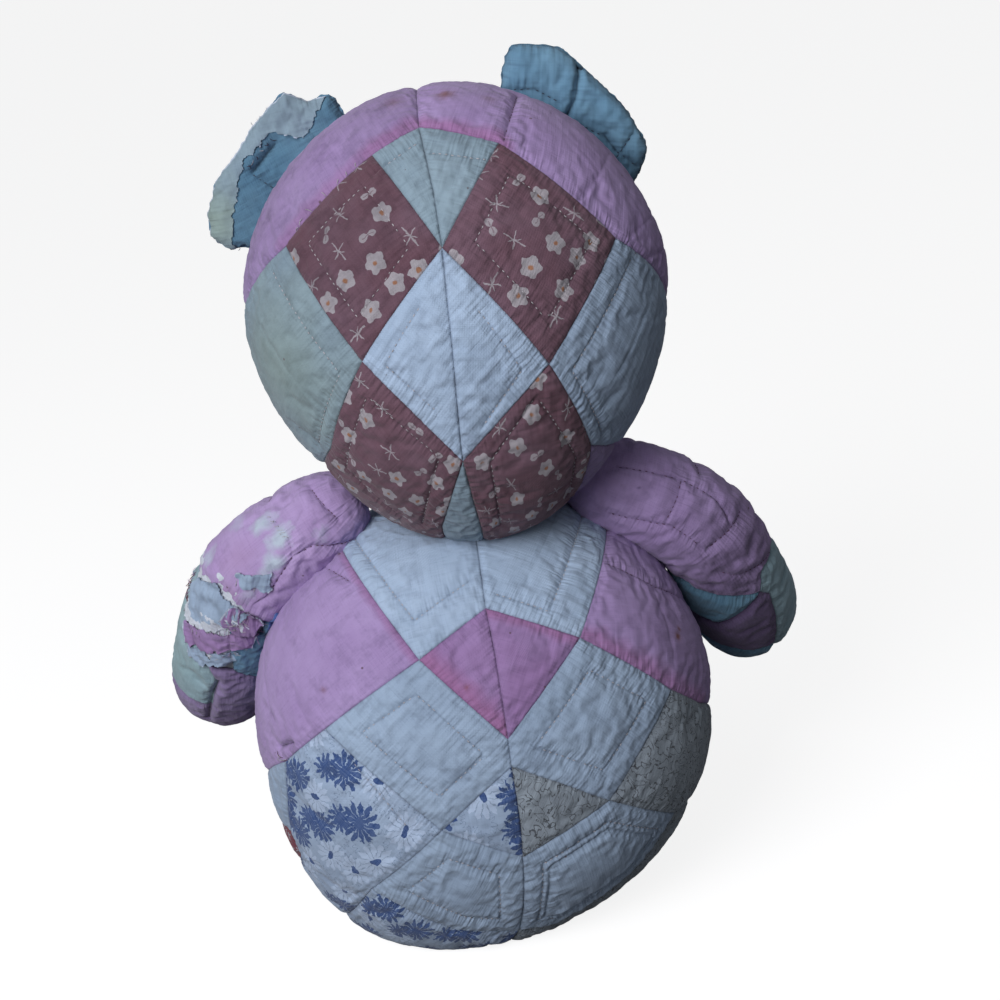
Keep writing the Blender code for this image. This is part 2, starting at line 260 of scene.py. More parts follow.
class LimbChart:
    # x runs along the limb from its sewn end, over its tip too; y runs round it from its seam line at y = 0

    def __init__(self, form, side, start, facing=1):
        self.form, self.side, self.start, self.facing = form, side, start, facing
        share = np.linspace(-1, 1, 801)
        full = np.sqrt(np.maximum(0, 1 - np.abs(share) ** 5))
        spine = self.spine((share + 1) / 2)
        step = np.hypot(np.linalg.norm(np.diff(spine, axis=0), axis=1), np.diff(full) * form["radius"][0])
        self.share, self.length = share, np.concatenate([[0], np.cumsum(step)]) / mm - form.get("from", 0)
        self.radius = form["around"] / mm

    def spine(self, share):
        path = np.array(self.form["path"])
        place = np.clip(share, 0, 1) * (len(path) - 1)
        index = np.minimum(place.astype(int), len(path) - 2)
        t = (place - index)[:, None]
        before, start, end = path[np.maximum(index - 1, 0)], path[index], path[index + 1]
        after = path[np.minimum(index + 2, len(path) - 1)]
        return 0.5 * (2 * start + (end - before) * t + (2 * before - 5 * start + 4 * end - after) * t ** 2
                      + (3 * start - before - 3 * end + after) * t ** 3)

    def directions(self, xy):
        # the turn round the limb as a direction, for the seams along it
        turn = math.radians(self.start) - self.side * self.facing * xy[:, 1] / self.radius
        share = np.interp(xy[:, 0], self.length, self.share)
        return np.stack([np.cos(turn), np.sin(turn), share], 1)

    def points(self, xy):
        form = self.form
        ring = self.directions(xy)
        share = (ring[:, 2] + 1) / 2
        ahead = unit(self.spine(share + 0.02) - self.spine(share - 0.02))
        level = np.array(form["level"], float)
        second = unit(level - ahead * (ahead @ level)[:, None])
        first = np.cross(second, ahead)
        full = np.sqrt(np.maximum(0, 1 - np.abs(ring[:, 2]) ** 5))
        wide = form["radius"][0] + (form["radius"][1] - form["radius"][0]) * share
        tall = wide * (1 + form["tall"] * share ** 2)
        points = (self.spine(share) + first * (ring[:, 0] * full * wide)[:, None]
                  + second * (ring[:, 1] * full * tall)[:, None])
        points[:, 0] += form["shift"][0 if self.side > 0 else 1] * (1 - share)
        if "sole" in form:
            points[:, 1] = np.maximum(points[:, 1], form["sole"])
        points[:, 2] = np.maximum(points[:, 2], 0.0)
        points[:, 0] *= self.side
        return points

    def covers(self, xy):
        onLimb = (xy[:, 0] > self.length[0] + 0.4) & (xy[:, 0] < self.length[-1] - 0.4)
        return onLimb & (np.abs(xy[:, 1]) < math.pi * self.radius + 0.1)


class FlatChart:
    # a flat piece with a soft edge: right and up span it, and it stands out by thick inside its outline

    def __init__(self, middle, right, up, outline, thick, edge):
        self.middle, self.right, self.up = np.array(middle), np.array(right), np.array(up)
        self.out = np.cross(self.right, self.up)
        self.outline, self.thick, self.edge = np.array(outline, float), thick, edge
        self.sides, self.radius = sidesOf(outline), 1e3

    def points(self, xy):
        gap = np.where(insideOf(xy, self.outline), nearest(xy, self.sides), 0)
        share = np.clip(gap / self.edge, 0, 1)
        high = self.thick * np.sqrt(np.maximum(0, 1 - (1 - share) ** 2.4))
        return self.middle + (xy[:, :1] * self.right + xy[:, 1:2] * self.up + high[:, None] * self.out) * mm

    def covers(self, xy):
        return insideOf(xy, self.outline) | (nearest(xy, self.sides) < 3)


def outward(chart, xy, step=0.5):
    # the surface's unit normal at each chart place
    across = chart.points(xy + (step, 0)) - chart.points(xy - (step, 0))
    along = chart.points(xy + (0, step)) - chart.points(xy - (0, step))
    return unit(np.cross(across, along))


# Irregularity: smooth seeded noise on the charts, between -1 and 1

noiseTable = np.random.RandomState(7).permutation(256)
noiseTurns = np.random.RandomState(8).rand(256) * 2 * math.pi


def ripple(xy, size, seed=0):
    at = np.asarray(xy, float) / size + (seed * 17.31, seed * 9.7)
    cell = np.floor(at).astype(int)
    part = at - cell
    ease = part ** 3 * (part * (part * 6 - 15) + 10)

    def pull(dx, dy):
        corner = noiseTable[(noiseTable[(cell[:, 0] + dx) & 255] + cell[:, 1] + dy) & 255]
        turn = noiseTurns[(corner + seed) & 255]
        return np.cos(turn) * (part[:, 0] - dx) + np.sin(turn) * (part[:, 1] - dy)

    low = pull(0, 0) * (1 - ease[:, 0]) + pull(1, 0) * ease[:, 0]
    high = pull(0, 1) * (1 - ease[:, 0]) + pull(1, 1) * ease[:, 0]
    return (low * (1 - ease[:, 1]) + high * ease[:, 1]) * 1.5


def toLine(xy, line):
    # distance from the line, place along it and place beside it, all in mm
    start, end = np.array(line[0], float), np.array(line[1], float)
    length = max(np.linalg.norm(end - start), 1e-6)
    ahead = (end - start) / length
    along = (xy - start) @ ahead
    beyond = along - np.clip(along, 0, length)
    side = (xy - start) @ np.array((-ahead[1], ahead[0]))
    return np.hypot(side, beyond), along, side


def sidesOf(corners):
    corners = np.array(corners, float)
    return list(zip(corners, np.roll(corners, -1, 0)))


def nearest(xy, lines):
    gap = np.full(len(xy), 1e3)
    for line in lines:
        gap = np.minimum(gap, toLine(xy, line)[0])
    return gap


# Stuffing: a cloth grid sewn down along its lines and blown out from behind shows how the quilt puffs and puckers

class Puffed:
    # how far the stuffing moves each chart place, smoothed between the points of its grid

    def __init__(self, low, step, moves):
        self.low, self.step, self.moves = np.array(low, float), step, moves

    def at(self, xy):
        place = (xy - self.low) / self.step
        count = np.array(self.moves.shape[:2])
        place = np.clip(place, 1.0, count - 2.001)
        cell = np.floor(place).astype(int)
        part = place - cell
        found = np.zeros((len(xy), 3))
        for i, across in enumerate(blendWeights(part[:, 0])):
            for j, along in enumerate(blendWeights(part[:, 1])):
                found += self.moves[cell[:, 0] + i - 1, cell[:, 1] + j - 1] * (across * along)[:, None]
        return found


def blendWeights(t):
    # the shares of four points in a row, for a place between the middle two
    return (0.5 * (-t + 2 * t ** 2 - t ** 3), 0.5 * (2 - 5 * t ** 2 + 3 * t ** 3),
            0.5 * (t + 4 * t ** 2 - 3 * t ** 3), 0.5 * (t ** 3 - t ** 2))


def puff(panel, low, high, make):
    # make: step and depth in mm, slack as a share, pressure, frames and the most that a point may move in mm
    step = make["step"]
    count = [int(math.ceil((high[k] - low[k]) / step)) + 1 for k in range(2)]
    bm = bmesh.new()
    bmesh.ops.create_grid(bm, x_segments=count[0] - 1, y_segments=count[1] - 1, size=0.5)
    flat = np.array([v.co[:2] for v in bm.verts])
    index = np.rint((flat + 0.5) * (np.array(count) - 1)).astype(int)
    xy = np.array(low) + index * step
    used = panel.kept(xy)
    gap = panel.gap(xy)
    form = panel.chart.points(xy)
    normal = outward(panel.chart, xy)
    soft = 1 - np.exp(-(gap / make["shoulder"]) ** 2)
    start = form + normal * ((make["depth"] * (soft - 1) + make["puff"] * soft) * mm)[:, None]
    moves = np.zeros((count[0], count[1], 3))
    if make["frames"]:
        start += normal * (ripple(xy, 9, 3) * 0.4 * soft * mm)[:, None]
        for vert, place in zip(bm.verts, start):
            vert.co = place
        gone = [v for v, keep in zip(bm.verts, used) if not keep]
        kept = np.nonzero(used)[0]
        bmesh.ops.delete(bm, geom=gone, context="VERTS")
        start[kept] = settle(bm, gap[kept] < make["held"] * step, make)
    move = start - form
    out = (move * normal).sum(1)
    move += normal * (np.clip(out, -make["depth"] * mm, make["most"] * mm) - out)[:, None]
    size = np.linalg.norm(move, axis=1)
    move *= np.minimum(1, make["most"] * mm / np.maximum(size, 1e-9))[:, None]
    move[~used] = normal[~used] * (-make["depth"] * mm)
    moves[index[:, 0], index[:, 1]] = move
    bm.free()
    return Puffed(low, step, moves)


def settle(bm, sewn, make):
    # where the cloth comes to rest, held along its sewing and its rim
    mesh = bpy.data.meshes.new("cloth")
    bm.to_mesh(mesh)
    sheet = bpy.data.objects.new("cloth", mesh)
    scene.collection.objects.link(sheet)
    rim = np.zeros(len(mesh.vertices), bool)
    bm.verts.index_update()
    for edge in bm.edges:
        if edge.is_boundary:
            for vert in edge.verts:
                rim[vert.index] = True
    held = sheet.vertex_groups.new(name="sewn")
    held.add(np.nonzero(sewn | rim)[0].tolist(), 1.0, "REPLACE")
    sheet.modifiers.new("cloth", "CLOTH")
    sheet.modifiers["cloth"].point_cache.frame_end = make["frames"] + 1
    sheet.modifiers["cloth"].collision_settings.use_collision = False
    how = sheet.modifiers["cloth"].settings
    how.quality = make["quality"]
    how.mass = make["mass"]
    how.tension_stiffness = how.compression_stiffness = make["stiff"]
    how.shear_stiffness = make["stiff"] / 3
    how.bending_stiffness = make["bend"]
    how.air_damping = make["damping"]
    how.use_pressure = True
    how.uniform_pressure_force = make["pressure"]
    how.shrink_min = how.shrink_max = -make["slack"]
    how.vertex_group_mass = "sewn"
    how.effector_weights.gravity = 0.0
    for number in range(1, make["frames"] + 1):
        scene.frame_set(number)
    seen = sheet.evaluated_get(bpy.context.evaluated_depsgraph_get())
    places = np.empty(len(mesh.vertices) * 3)
    seen.data.vertices.foreach_get("co", places)
    bpy.data.objects.remove(sheet)
    bpy.data.meshes.remove(mesh)
    scene.frame_set(1)
    return places.reshape(-1, 3)


# Sewing: how each kind of line pulls the cloth in, in mm; dark is how much shade is painted along it, as a share

sewing = {
    "centre": {"groove": 0.8, "width": 0.6, "gather": 0.68, "pitch": 3.0, "reach": 22.0, "dark": 0.6},
    "seam": {"groove": 0.7, "width": 0.6, "gather": 0.52, "pitch": 2.9, "reach": 17.0, "dark": 0.5},
    "quilting": {"groove": 0.9, "width": 0.9, "gather": 0.52, "pitch": 2.8, "reach": 14.0, "dark": 0.35},
    "crease": {"groove": 0.5, "width": 1.6, "gather": 0.30, "pitch": 3.4, "reach": 9.0, "dark": 0.25},
    "gathered": {"groove": 0.0, "width": 1.0, "gather": 0.75, "pitch": 3.4, "reach": 22.0, "dark": 0.0},
    "fold": {"groove": 3.0, "width": 2.2, "gather": 0.7, "pitch": 4.0, "reach": 12.0, "dark": 1.0},
}
pinned = ("centre", "seam", "quilting", "fold")


def insideOf(xy, corners):
    found = np.zeros(len(xy), bool)
    for (x1, y1), (x2, y2) in sidesOf(corners):
        if y1 != y2:
            between = (xy[:, 1] > y1) != (xy[:, 1] > y2)
            found ^= between & (xy[:, 0] < x1 + (xy[:, 1] - y1) * (x2 - x1) / (y2 - y1))
    return found


def windingOf(corners):
    return np.sign(sum(a[0] * b[1] - a[1] * b[0] for a, b in sidesOf(corners)))


def insetLines(corners, by):
    # a line of quilting inside each side of a patch
    sides = []
    for a, b in sidesOf(corners):
        ahead = unit(b - a)
        normal = np.array((-ahead[1], ahead[0])) * windingOf(corners)
        sides.append((normal, normal @ a + by))
    points = [np.linalg.solve(np.array([n1, n2]), np.array([o1, o2]))
              for (n1, o1), (n2, o2) in zip(sides[-1:] + sides[:-1], sides)]
    return [(tuple(a), tuple(b), "quilting") for a, b in zip(points, points[1:] + points[:1])]


def chained(*runs):
    # lines of sewing as (start, end, kind), from runs of places that each begin with their kind
    return [(a, b, run[0]) for run in runs for a, b in zip(run[1:], run[2:])]


def sewnLines(plan, places):
    # corners named c... lie on the centre seam, and o... outside the panel
    lines, seen = [], set()
    for patch in plan:
        names = patch["corners"].split()
        for a, b in zip(names, names[1:] + names[:1]):
            if frozenset((a, b)) in seen or (a[0] == "o" and b[0] == "o"):
                continue
            seen.add(frozenset((a, b)))
            lines.append((places[a], places[b], "centre" if a[:1] + b[:1] in ("cc", "co", "oc") else "seam"))
        for by in patch.get("inset", []):
            lines += insetLines([places[n] for n in names if not n.endswith("b")], by)
        lines += patch.get("lines", [])
    return lines


class Panel:
    # a sewn panel: its chart, the lines sewn on it, the seam round it and what lies outside it

    def __init__(self, chart, lines, rim=None, keep=(), seed=0):
        self.chart, self.lines, self.rim, self.keep, self.seed = chart, lines, rim, list(keep), seed

    def rimGap(self, xy):
        normal, offset = self.rim
        return (self.chart.directions(xy) @ np.array(normal) - offset) * self.chart.radius / np.linalg.norm(normal)

    def gap(self, xy):
        found = nearest(xy, [line for line in self.lines if line[2] in pinned])
        if self.rim:
            found = np.minimum(found, np.abs(self.rimGap(xy)))
        return found

    def kept(self, xy, more=0.0):
        found = self.chart.covers(xy)
        if self.keep or self.rim:
            directions = self.chart.directions(xy)
            for normal, offset in self.keep + ([self.rim] if self.rim else []):
                found &= (directions @ np.array(normal) - offset) * self.chart.radius > -more
        return found

    def relief(self, xy):
        # heights in mm of the grooves and the puckers square to them, and how much shade is painted at each place along
        # the sewn lines
        groove, gathers, deep = np.zeros(len(xy)), np.zeros(len(xy)), np.zeros(len(xy))
        for number, line in enumerate(self.lines + ([None] if self.rim else [])):
            if line is None:
                how = sewing["seam"]
                directions = self.chart.directions(xy)
                side = self.rimGap(xy)
                gap, along = np.abs(side), np.arctan2(directions[:, 2], directions[:, 0]) * self.chart.radius
            else:
                how = sewing[line[2]]
                gap, along, side = toLine(xy, line)
            near = gap < how["reach"] * 3
            if not near.any():
                continue
            gap, along, side = gap[near], along[near], side[near]
            groove[near] = np.minimum(groove[near], -how["groove"] * np.exp(-(gap / how["width"]) ** 2))
            deep[near] = np.maximum(deep[near], how["dark"] * np.exp(-(gap / 0.8) ** 2))
            soft = ripple(np.stack([along, side * 0.07], 1), how["pitch"], number + self.seed)
            sharp = 0.35 - np.abs(ripple(np.stack([along, side * 0.045], 1), how["pitch"] * 1.6, number))
            wave = 0.75 * soft + 0.5 * sharp
            off = 1 - np.exp(-(gap / 1.8) ** 2)
            gathers[near] += how["gather"] * wave * off * np.exp(-(gap / how["reach"]) ** 1.3)
        return groove + gathers, np.clip(deep, 0, 1)


# Patches: crumples are (size in mm, height as a share, seed)

crumples = ((7.0, 0.5, 5), (3.4, 0.35, 6), (17.0, 2.2, 9))
wearKinds = ("marks", "creases", "crumple", "lift", "curl", "lip", "wornEdge")
scratch = bpy.data.meshes.new("scratch")


def middlesOf(bm):
    bm.to_mesh(scratch)
    middles = np.empty(len(scratch.polygons) * 3)
    scratch.polygons.foreach_get("center", middles)
    return middles.reshape(-1, 3)[:, :2]


def placesOf(bm):
    return np.array([v.co[:2] for v in bm.verts]).reshape(-1, 2)


def threadWays(corners):
    # unit vectors along the first side and across it, which are the ways of the threads
    ahead = unit(np.array(corners[1], float) - np.array(corners[0], float))
    return np.array([ahead, (-ahead[1], ahead[0])])


def sliceAlong(bm, start, end, offset, cell):
    # cuts the faces that lie near a line, or near one beside it
    start, end = np.array(start, float), np.array(end, float)
    ahead = unit(end - start)
    side = np.array((-ahead[1], ahead[0]))
    start, end = start + side * offset, end + side * offset
    faces = list(bm.faces)
    gap = toLine(middlesOf(bm), (start, end))[0]
    near = [faces[k] for k in np.nonzero(gap < cell * 1.6)[0]]
    if near:
        edges = {e for f in near for e in f.edges}
        verts = {v for f in near for v in f.verts}
        bmesh.ops.bisect_plane(bm, geom=near + list(edges) + list(verts), dist=0.06,
                               plane_co=(*start, 0), plane_no=(*side, 0))


def clipBy(bm, chart, keep):
    # cuts along a plane through the ball of the chart's directions and drops what lies beyond it
    normal, offset = keep
    directions = chart.directions(placesOf(bm))
    if (directions @ np.array(normal) > offset).all():
        return
    for vert, place in zip(bm.verts, directions):
        vert.co = place
    normal = np.array(normal, float)
    length = np.linalg.norm(normal)
    bmesh.ops.bisect_plane(bm, geom=list(bm.verts) + list(bm.edges) + list(bm.faces), dist=1e-5,
                           plane_co=normal / length ** 2 * offset, plane_no=normal / length, clear_inner=True)
    for vert, place in zip(bm.verts, chart.flat(np.array([v.co for v in bm.verts]).reshape(-1, 3))):
        vert.co = (*place, 0)


def tornAway(xy, torn):
    # torn: sides as (start, end, depth) and holes as (x, y, radius), all ragged
    lost = np.zeros(len(xy), bool)
    for number, part in enumerate(torn):
        if np.isscalar(part[0]):
            x, y, radius = part
            lost |= np.hypot(xy[:, 0] - x, xy[:, 1] - y) < radius * (1 + 0.5 * ripple(xy, radius * 0.6, number))
        else:
            gap, along, _ = toLine(xy, part)
            line = np.stack([along, along * 0], 1)
            lost |= gap < part[2] * (0.55 + 0.8 * ripple(line, 7.0, number) + 0.4 * ripple(line, 2.4, number + 9))
    return lost


def tornGap(xy, torn):
    # the distance from the nearest torn side or hole
    return np.min([np.abs(np.hypot(xy[:, 0] - part[0], xy[:, 1] - part[1]) - part[2]) if np.isscalar(part[0]) else
                   toLine(xy, part)[0] for part in torn], 0)


def cutPatch(panel, corners, cell, rows, worn=None):
    # the flat patch in chart mm: a grid whose threads run along the first side, cut along its sides and sewn lines
    corners = np.array(corners, float)
    turn = threadWays(corners)
    local = corners @ turn.T
    low, high = local.min(0) - cell, local.max(0) + cell
    count = np.ceil((high - low) / cell).astype(int)
    bm = bmesh.new()
    bmesh.ops.create_grid(bm, x_segments=int(count[0]), y_segments=int(count[1]), size=0.5)
    flat = (low + (placesOf(bm) + 0.5) * (high - low)) @ turn
    for vert, place in zip(bm.verts, flat):
        vert.co = (*place, 0)
    sides = sidesOf(corners)
    useful = (insideOf(flat, corners) | (nearest(flat, sides) < cell * 2.5)) & panel.kept(flat, cell * 3)
    bmesh.ops.delete(bm, geom=[v for v, use in zip(bm.verts, useful) if not use], context="VERTS")
    if not bm.faces:
        bm.free()
        return None
    turning = windingOf(corners)
    for start, end in sides:
        for row in (0, *rows):
            sliceAlong(bm, start, end, row * turning, cell)
    for start, end, kind in panel.lines:
        samples = np.array(start) + np.linspace(0.1, 0.9, 5)[:, None] * (np.array(end) - start)
        if kind in ("quilting", "fold") and insideOf(samples, corners).any():
            for offset in (0, *rows[-1:], *(-r for r in rows[-1:])):
                sliceAlong(bm, start, end, offset, cell)
    faces = list(bm.faces)
    middles = middlesOf(bm)
    lost = ~insideOf(middles, corners)
    if worn is not None:
        lost |= worn(middles)
    bmesh.ops.delete(bm, geom=[f for f, gone in zip(faces, lost) if gone], context="FACES")
    if not bm.faces:
        bm.free()
        return None
    for keep in panel.keep + ([panel.rim] if panel.rim else []):
        clipBy(bm, panel.chart, keep)
    if worn is not None and bm.faces:
        for _ in range(2):
            loose = nearest(placesOf(bm), sides) > 0.2
            frayed = [v for v, free in zip(bm.verts, loose) if free and v.is_boundary]
            bmesh.ops.smooth_vert(bm, verts=frayed, factor=0.5, use_axis_x=True, use_axis_y=True)
    return bm if bm.faces else bm.free()


def layPatch(name, panel, bm, corners, material, puffed, look):
    # lays the flat patch over the form, its edges turned down by a lip; lip and lift are in mm
    down = bm.verts.layers.float.new("down")
    rim = [e for e in bm.edges if e.is_boundary]
    for edge in rim:
        edge.smooth = False
    lip = bmesh.ops.extrude_edge_only(bm, edges=rim)["geom"]
    for item in lip:
        if isinstance(item, bmesh.types.BMVert):
            item[down] = 1.0
    flat = placesOf(bm)
    edge = np.array([v[down] for v in bm.verts])
    sides = sidesOf(corners)
    bm.verts.layers.float.remove(down)
    piece = newPiece(name, bm, [material])
    mesh = piece.data
    normal = outward(panel.chart, flat)
    height, deep = panel.relief(flat)
    height = height + look.get("crumple", 0.13) * sum(high * ripple(flat, size, seed) for size, high, seed in crumples)
    for slant, pitch, high in look.get("creases", []):
        turn = math.radians(slant)
        along, across = flat @ (math.cos(turn), math.sin(turn)), flat @ (-math.sin(turn), math.cos(turn))
        height = height + high * ripple(np.stack([along * 0.14, across], 1), pitch, 31)
    height = height + look.get("lift", 0.0)
    if "curl" in look:
        gap = np.minimum(nearest(flat, sides), tornGap(flat, look["torn"]) if look["torn"] else 99)
        height = height + look["curl"] * np.maximum(0, 0.4 + ripple(flat, 9.0, 11)) * np.exp(-gap / 5.0)
    height = height - edge * look.get("lip", 2.6)
    points = panel.chart.points(flat) + normal * (height * mm)[:, None]
    points += puffed.at(flat)
    points[:, 2] = np.maximum(points[:, 2], 0.3 * mm)
    mesh.vertices.foreach_set("co", points.ravel())
    wear_and_shade = np.zeros((len(flat), 4))
    # channel 0 holds grime and painted shade: shade painted along the sewn lines and down the lips that turn into the
    # seams
    wear_and_shade[:, 0] = np.clip(deep + 0.5 * edge, 0, 1)
    for x, y, size, channel, strength in look.get("marks", []):
        away = np.hypot(flat[:, 0] - x, flat[:, 1] - y) / size * (1 + 0.35 * ripple(flat, size * 0.45, 21))
        wear_and_shade[:, channel] = np.maximum(wear_and_shade[:, channel], strength * np.exp(-away ** 2 * 1.5))
    if look.get("wornEdge"):
        wear_and_shade[:, 3] = np.maximum(wear_and_shade[:, 3], np.clip(1.3 - nearest(flat, sides) / look["wornEdge"], 0, 1))
    dye = np.zeros(len(flat))
    for start, end, width, strength in look.get("bands", []):
        gap = toLine(flat, (start, end))[0] * (1 + 0.25 * ripple(flat, 11.0, 17))
        dye = np.maximum(dye, strength * np.clip(1.5 - 1.5 * gap / width, 0, 1))
    mesh.attributes.new("dye", "FLOAT", "POINT").data.foreach_set("value", dye)
    turn = threadWays(corners)
    pull = np.zeros((len(flat), 3))
    for start, end, kind in panel.lines:
        if kind in pinned:
            share = np.abs(turn @ unit(np.array(end, float) - start)) ** 2
            near = np.exp(-(toLine(flat, (start, end))[0] / 9) ** 1.3)
            pull[:, :2] = np.maximum(pull[:, :2], near[:, None] * share)
    mesh.attributes.new("pull", "FLOAT_VECTOR", "POINT").data.foreach_set("vector", pull.ravel())
    mesh.attributes.new("wear_and_shade", "FLOAT_COLOR", "POINT").data.foreach_set("color", wear_and_shade.ravel())
    threads = (flat - np.array(corners[0])) @ turn.T / 100 + look["shift"] - edge[:, None] * 0.026
    corner = np.empty(len(mesh.loops), int)
    mesh.loops.foreach_get("vertex_index", corner)
    mesh.uv_layers.new(name="quilt").data.foreach_set("uv", threads[corner].ravel())
    mesh.update()
    return piece


def insideOthers(points, by):
    # whether points lie deeper than by (metres) inside the head or the body
    local = points - headMiddle
    local[:, 0] /= headTaper(local[:, 2])
    inHead = ((local / (headSize / 2 - by)) ** 2).sum(1) < 1
    size = np.array((bodyForm["width"], bodyHigh.y - bodyLow.y, bodyForm["height"])) / 2
    local = points - (bodyForm["middleX"], (bodyHigh.y + bodyLow.y) / 2, neckZ / 2)
    local[:, 2] /= np.where(local[:, 2] > 0, bodyForm["taper"], 1.0)
    local[:, 0] -= bodyForm["lean"] * np.maximum(0, -local[:, 2] / size[2]) ** 2
    inBody = (np.abs(local / (size - by)) ** bodyForm["power"]).sum(1) < 1
    return inHead | inBody


def sewPatches(name, panel, puffed, plan, patches, cell, rows, hidden=None, usual=None):
    # cuts the patches and lays them down in turn; later ones may lie over earlier ones, torn and curled
    pieces = []
    for number, patch in enumerate(patches):
        corners = patch["corners"]
        if isinstance(corners, str):
            corners = [plan["places"][n] for n in corners.split()]
        sides = sidesOf(corners)
        torn = [(*sides[part[0]], part[1]) if len(part) == 2 else part for part in patch.get("torn", [])]
        worn = hidden and (lambda xy: tornAway(xy, torn) | hidden(xy))
        bm = cutPatch(panel, corners, patch.get("cell", cell), patch.get("rows", rows), worn)
        if bm:
            look = {"shift": (0.37 * number, 0.21 * number), "torn": torn, **(usual or {})}
            look.update({key: patch[key] for key in wearKinds if key in patch})
            look["bands"] = [(plan["places"][a], plan["places"][b], *band) for a, b, *band in patch.get("bands", [])]
            material = patch.get("material") or cloths[patch["cloth"]]
            pieces.append(layPatch(f"{name}_{number}", panel, bm, corners, material, puffed, look))
    return joined(name, pieces)


def makePanels(name, chart, plan, sew, rim, keep, cell, reach, seed=0):
    # the left and right halves of a back or a front
    panel = Panel(chart, sewnLines(plan["left"] + plan["right"], plan["places"]), rim, keep, seed)
    puffed = puff(panel, *reach, sew)
    for side in ("left", "right"):
        piece = sewPatches(f"{name}_{side}_patchwork", panel, puffed, plan, plan[side], cell, quilt["rows"])
        finished(piece, [f"{name}_{side}"])
    return panel, puffed


def makeLimb(name, chart, plan, sew, cell, nodes, seed):
    # a stuffed tube of patches, left open where it runs into the head or the body
    lines = sewnLines([patch for patch in plan["patches"] if not patch.get("over")], plan["places"])
    panel = Panel(chart, lines + plan["lines"], None, (), seed)
    around = math.pi * chart.radius
    puffed = puff(panel, (chart.length[0], -around), (chart.length[-1], around), sew)
    patches = [dict(patch, rows=quilt["tornRows"]) if patch.get("torn") else patch for patch in plan["patches"]]
    piece = sewPatches(f"{name}_patchwork", panel, puffed, plan, patches, cell, quilt["rows"],
                       lambda xy: insideOthers(chart.points(xy), 5 * mm) | ~chart.covers(xy), {"crumple": 0.1})
    finished(piece, nodes)
    return panel, puffed


def makePad(name, chart, lines, patches, sew, cell, nodes, seed):
    # a flat stuffed pad inside its chart's outline
    panel = Panel(chart, lines, None, (), seed)
    puffed = puff(panel, chart.outline.min(0) - 3, chart.outline.max(0) + 3, sew)
    piece = sewPatches(name, panel, puffed, {}, patches, cell, (), lambda xy: ~chart.covers(xy), {"shift": (0, 0)})
    finished(piece, nodes)
    return panel, puffed


def joined(name, pieces):
    first = pieces[0]
    with bpy.context.temp_override(active_object=first, object=first, selected_objects=pieces,
                                   selected_editable_objects=pieces):
        bpy.ops.object.join()
    first.name = first.data.name = name
    return first


def finished(piece, nodes=()):
    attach(piece, "root")
    if nodes:
        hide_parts(*nodes)
    say(f"{piece.name}: {len(piece.data.polygons)} faces")


# Cloth: plain-woven cotton printed or dyed, faded unevenly, with thread ends that catch a little light

# the grime colour paints shade in the seams and folds as well as grime; the shade colour darkens the uneven threads
stainsAndPaintedShade = {"shade": "#a09caa", "grime_and_shade": "#4a4652", "soil": "#77747f", "rust": "#6b3a24", "damp": "#86967c",
          "bare": "#aeb9cb", "speck": "#503a3c"}
weave = {"pitch": 1.5, "high": 0.16, "thread": 0.5, "slub": 1.2, "crease": 0.35, "pucker": 4.5, "deep": 0.0009}


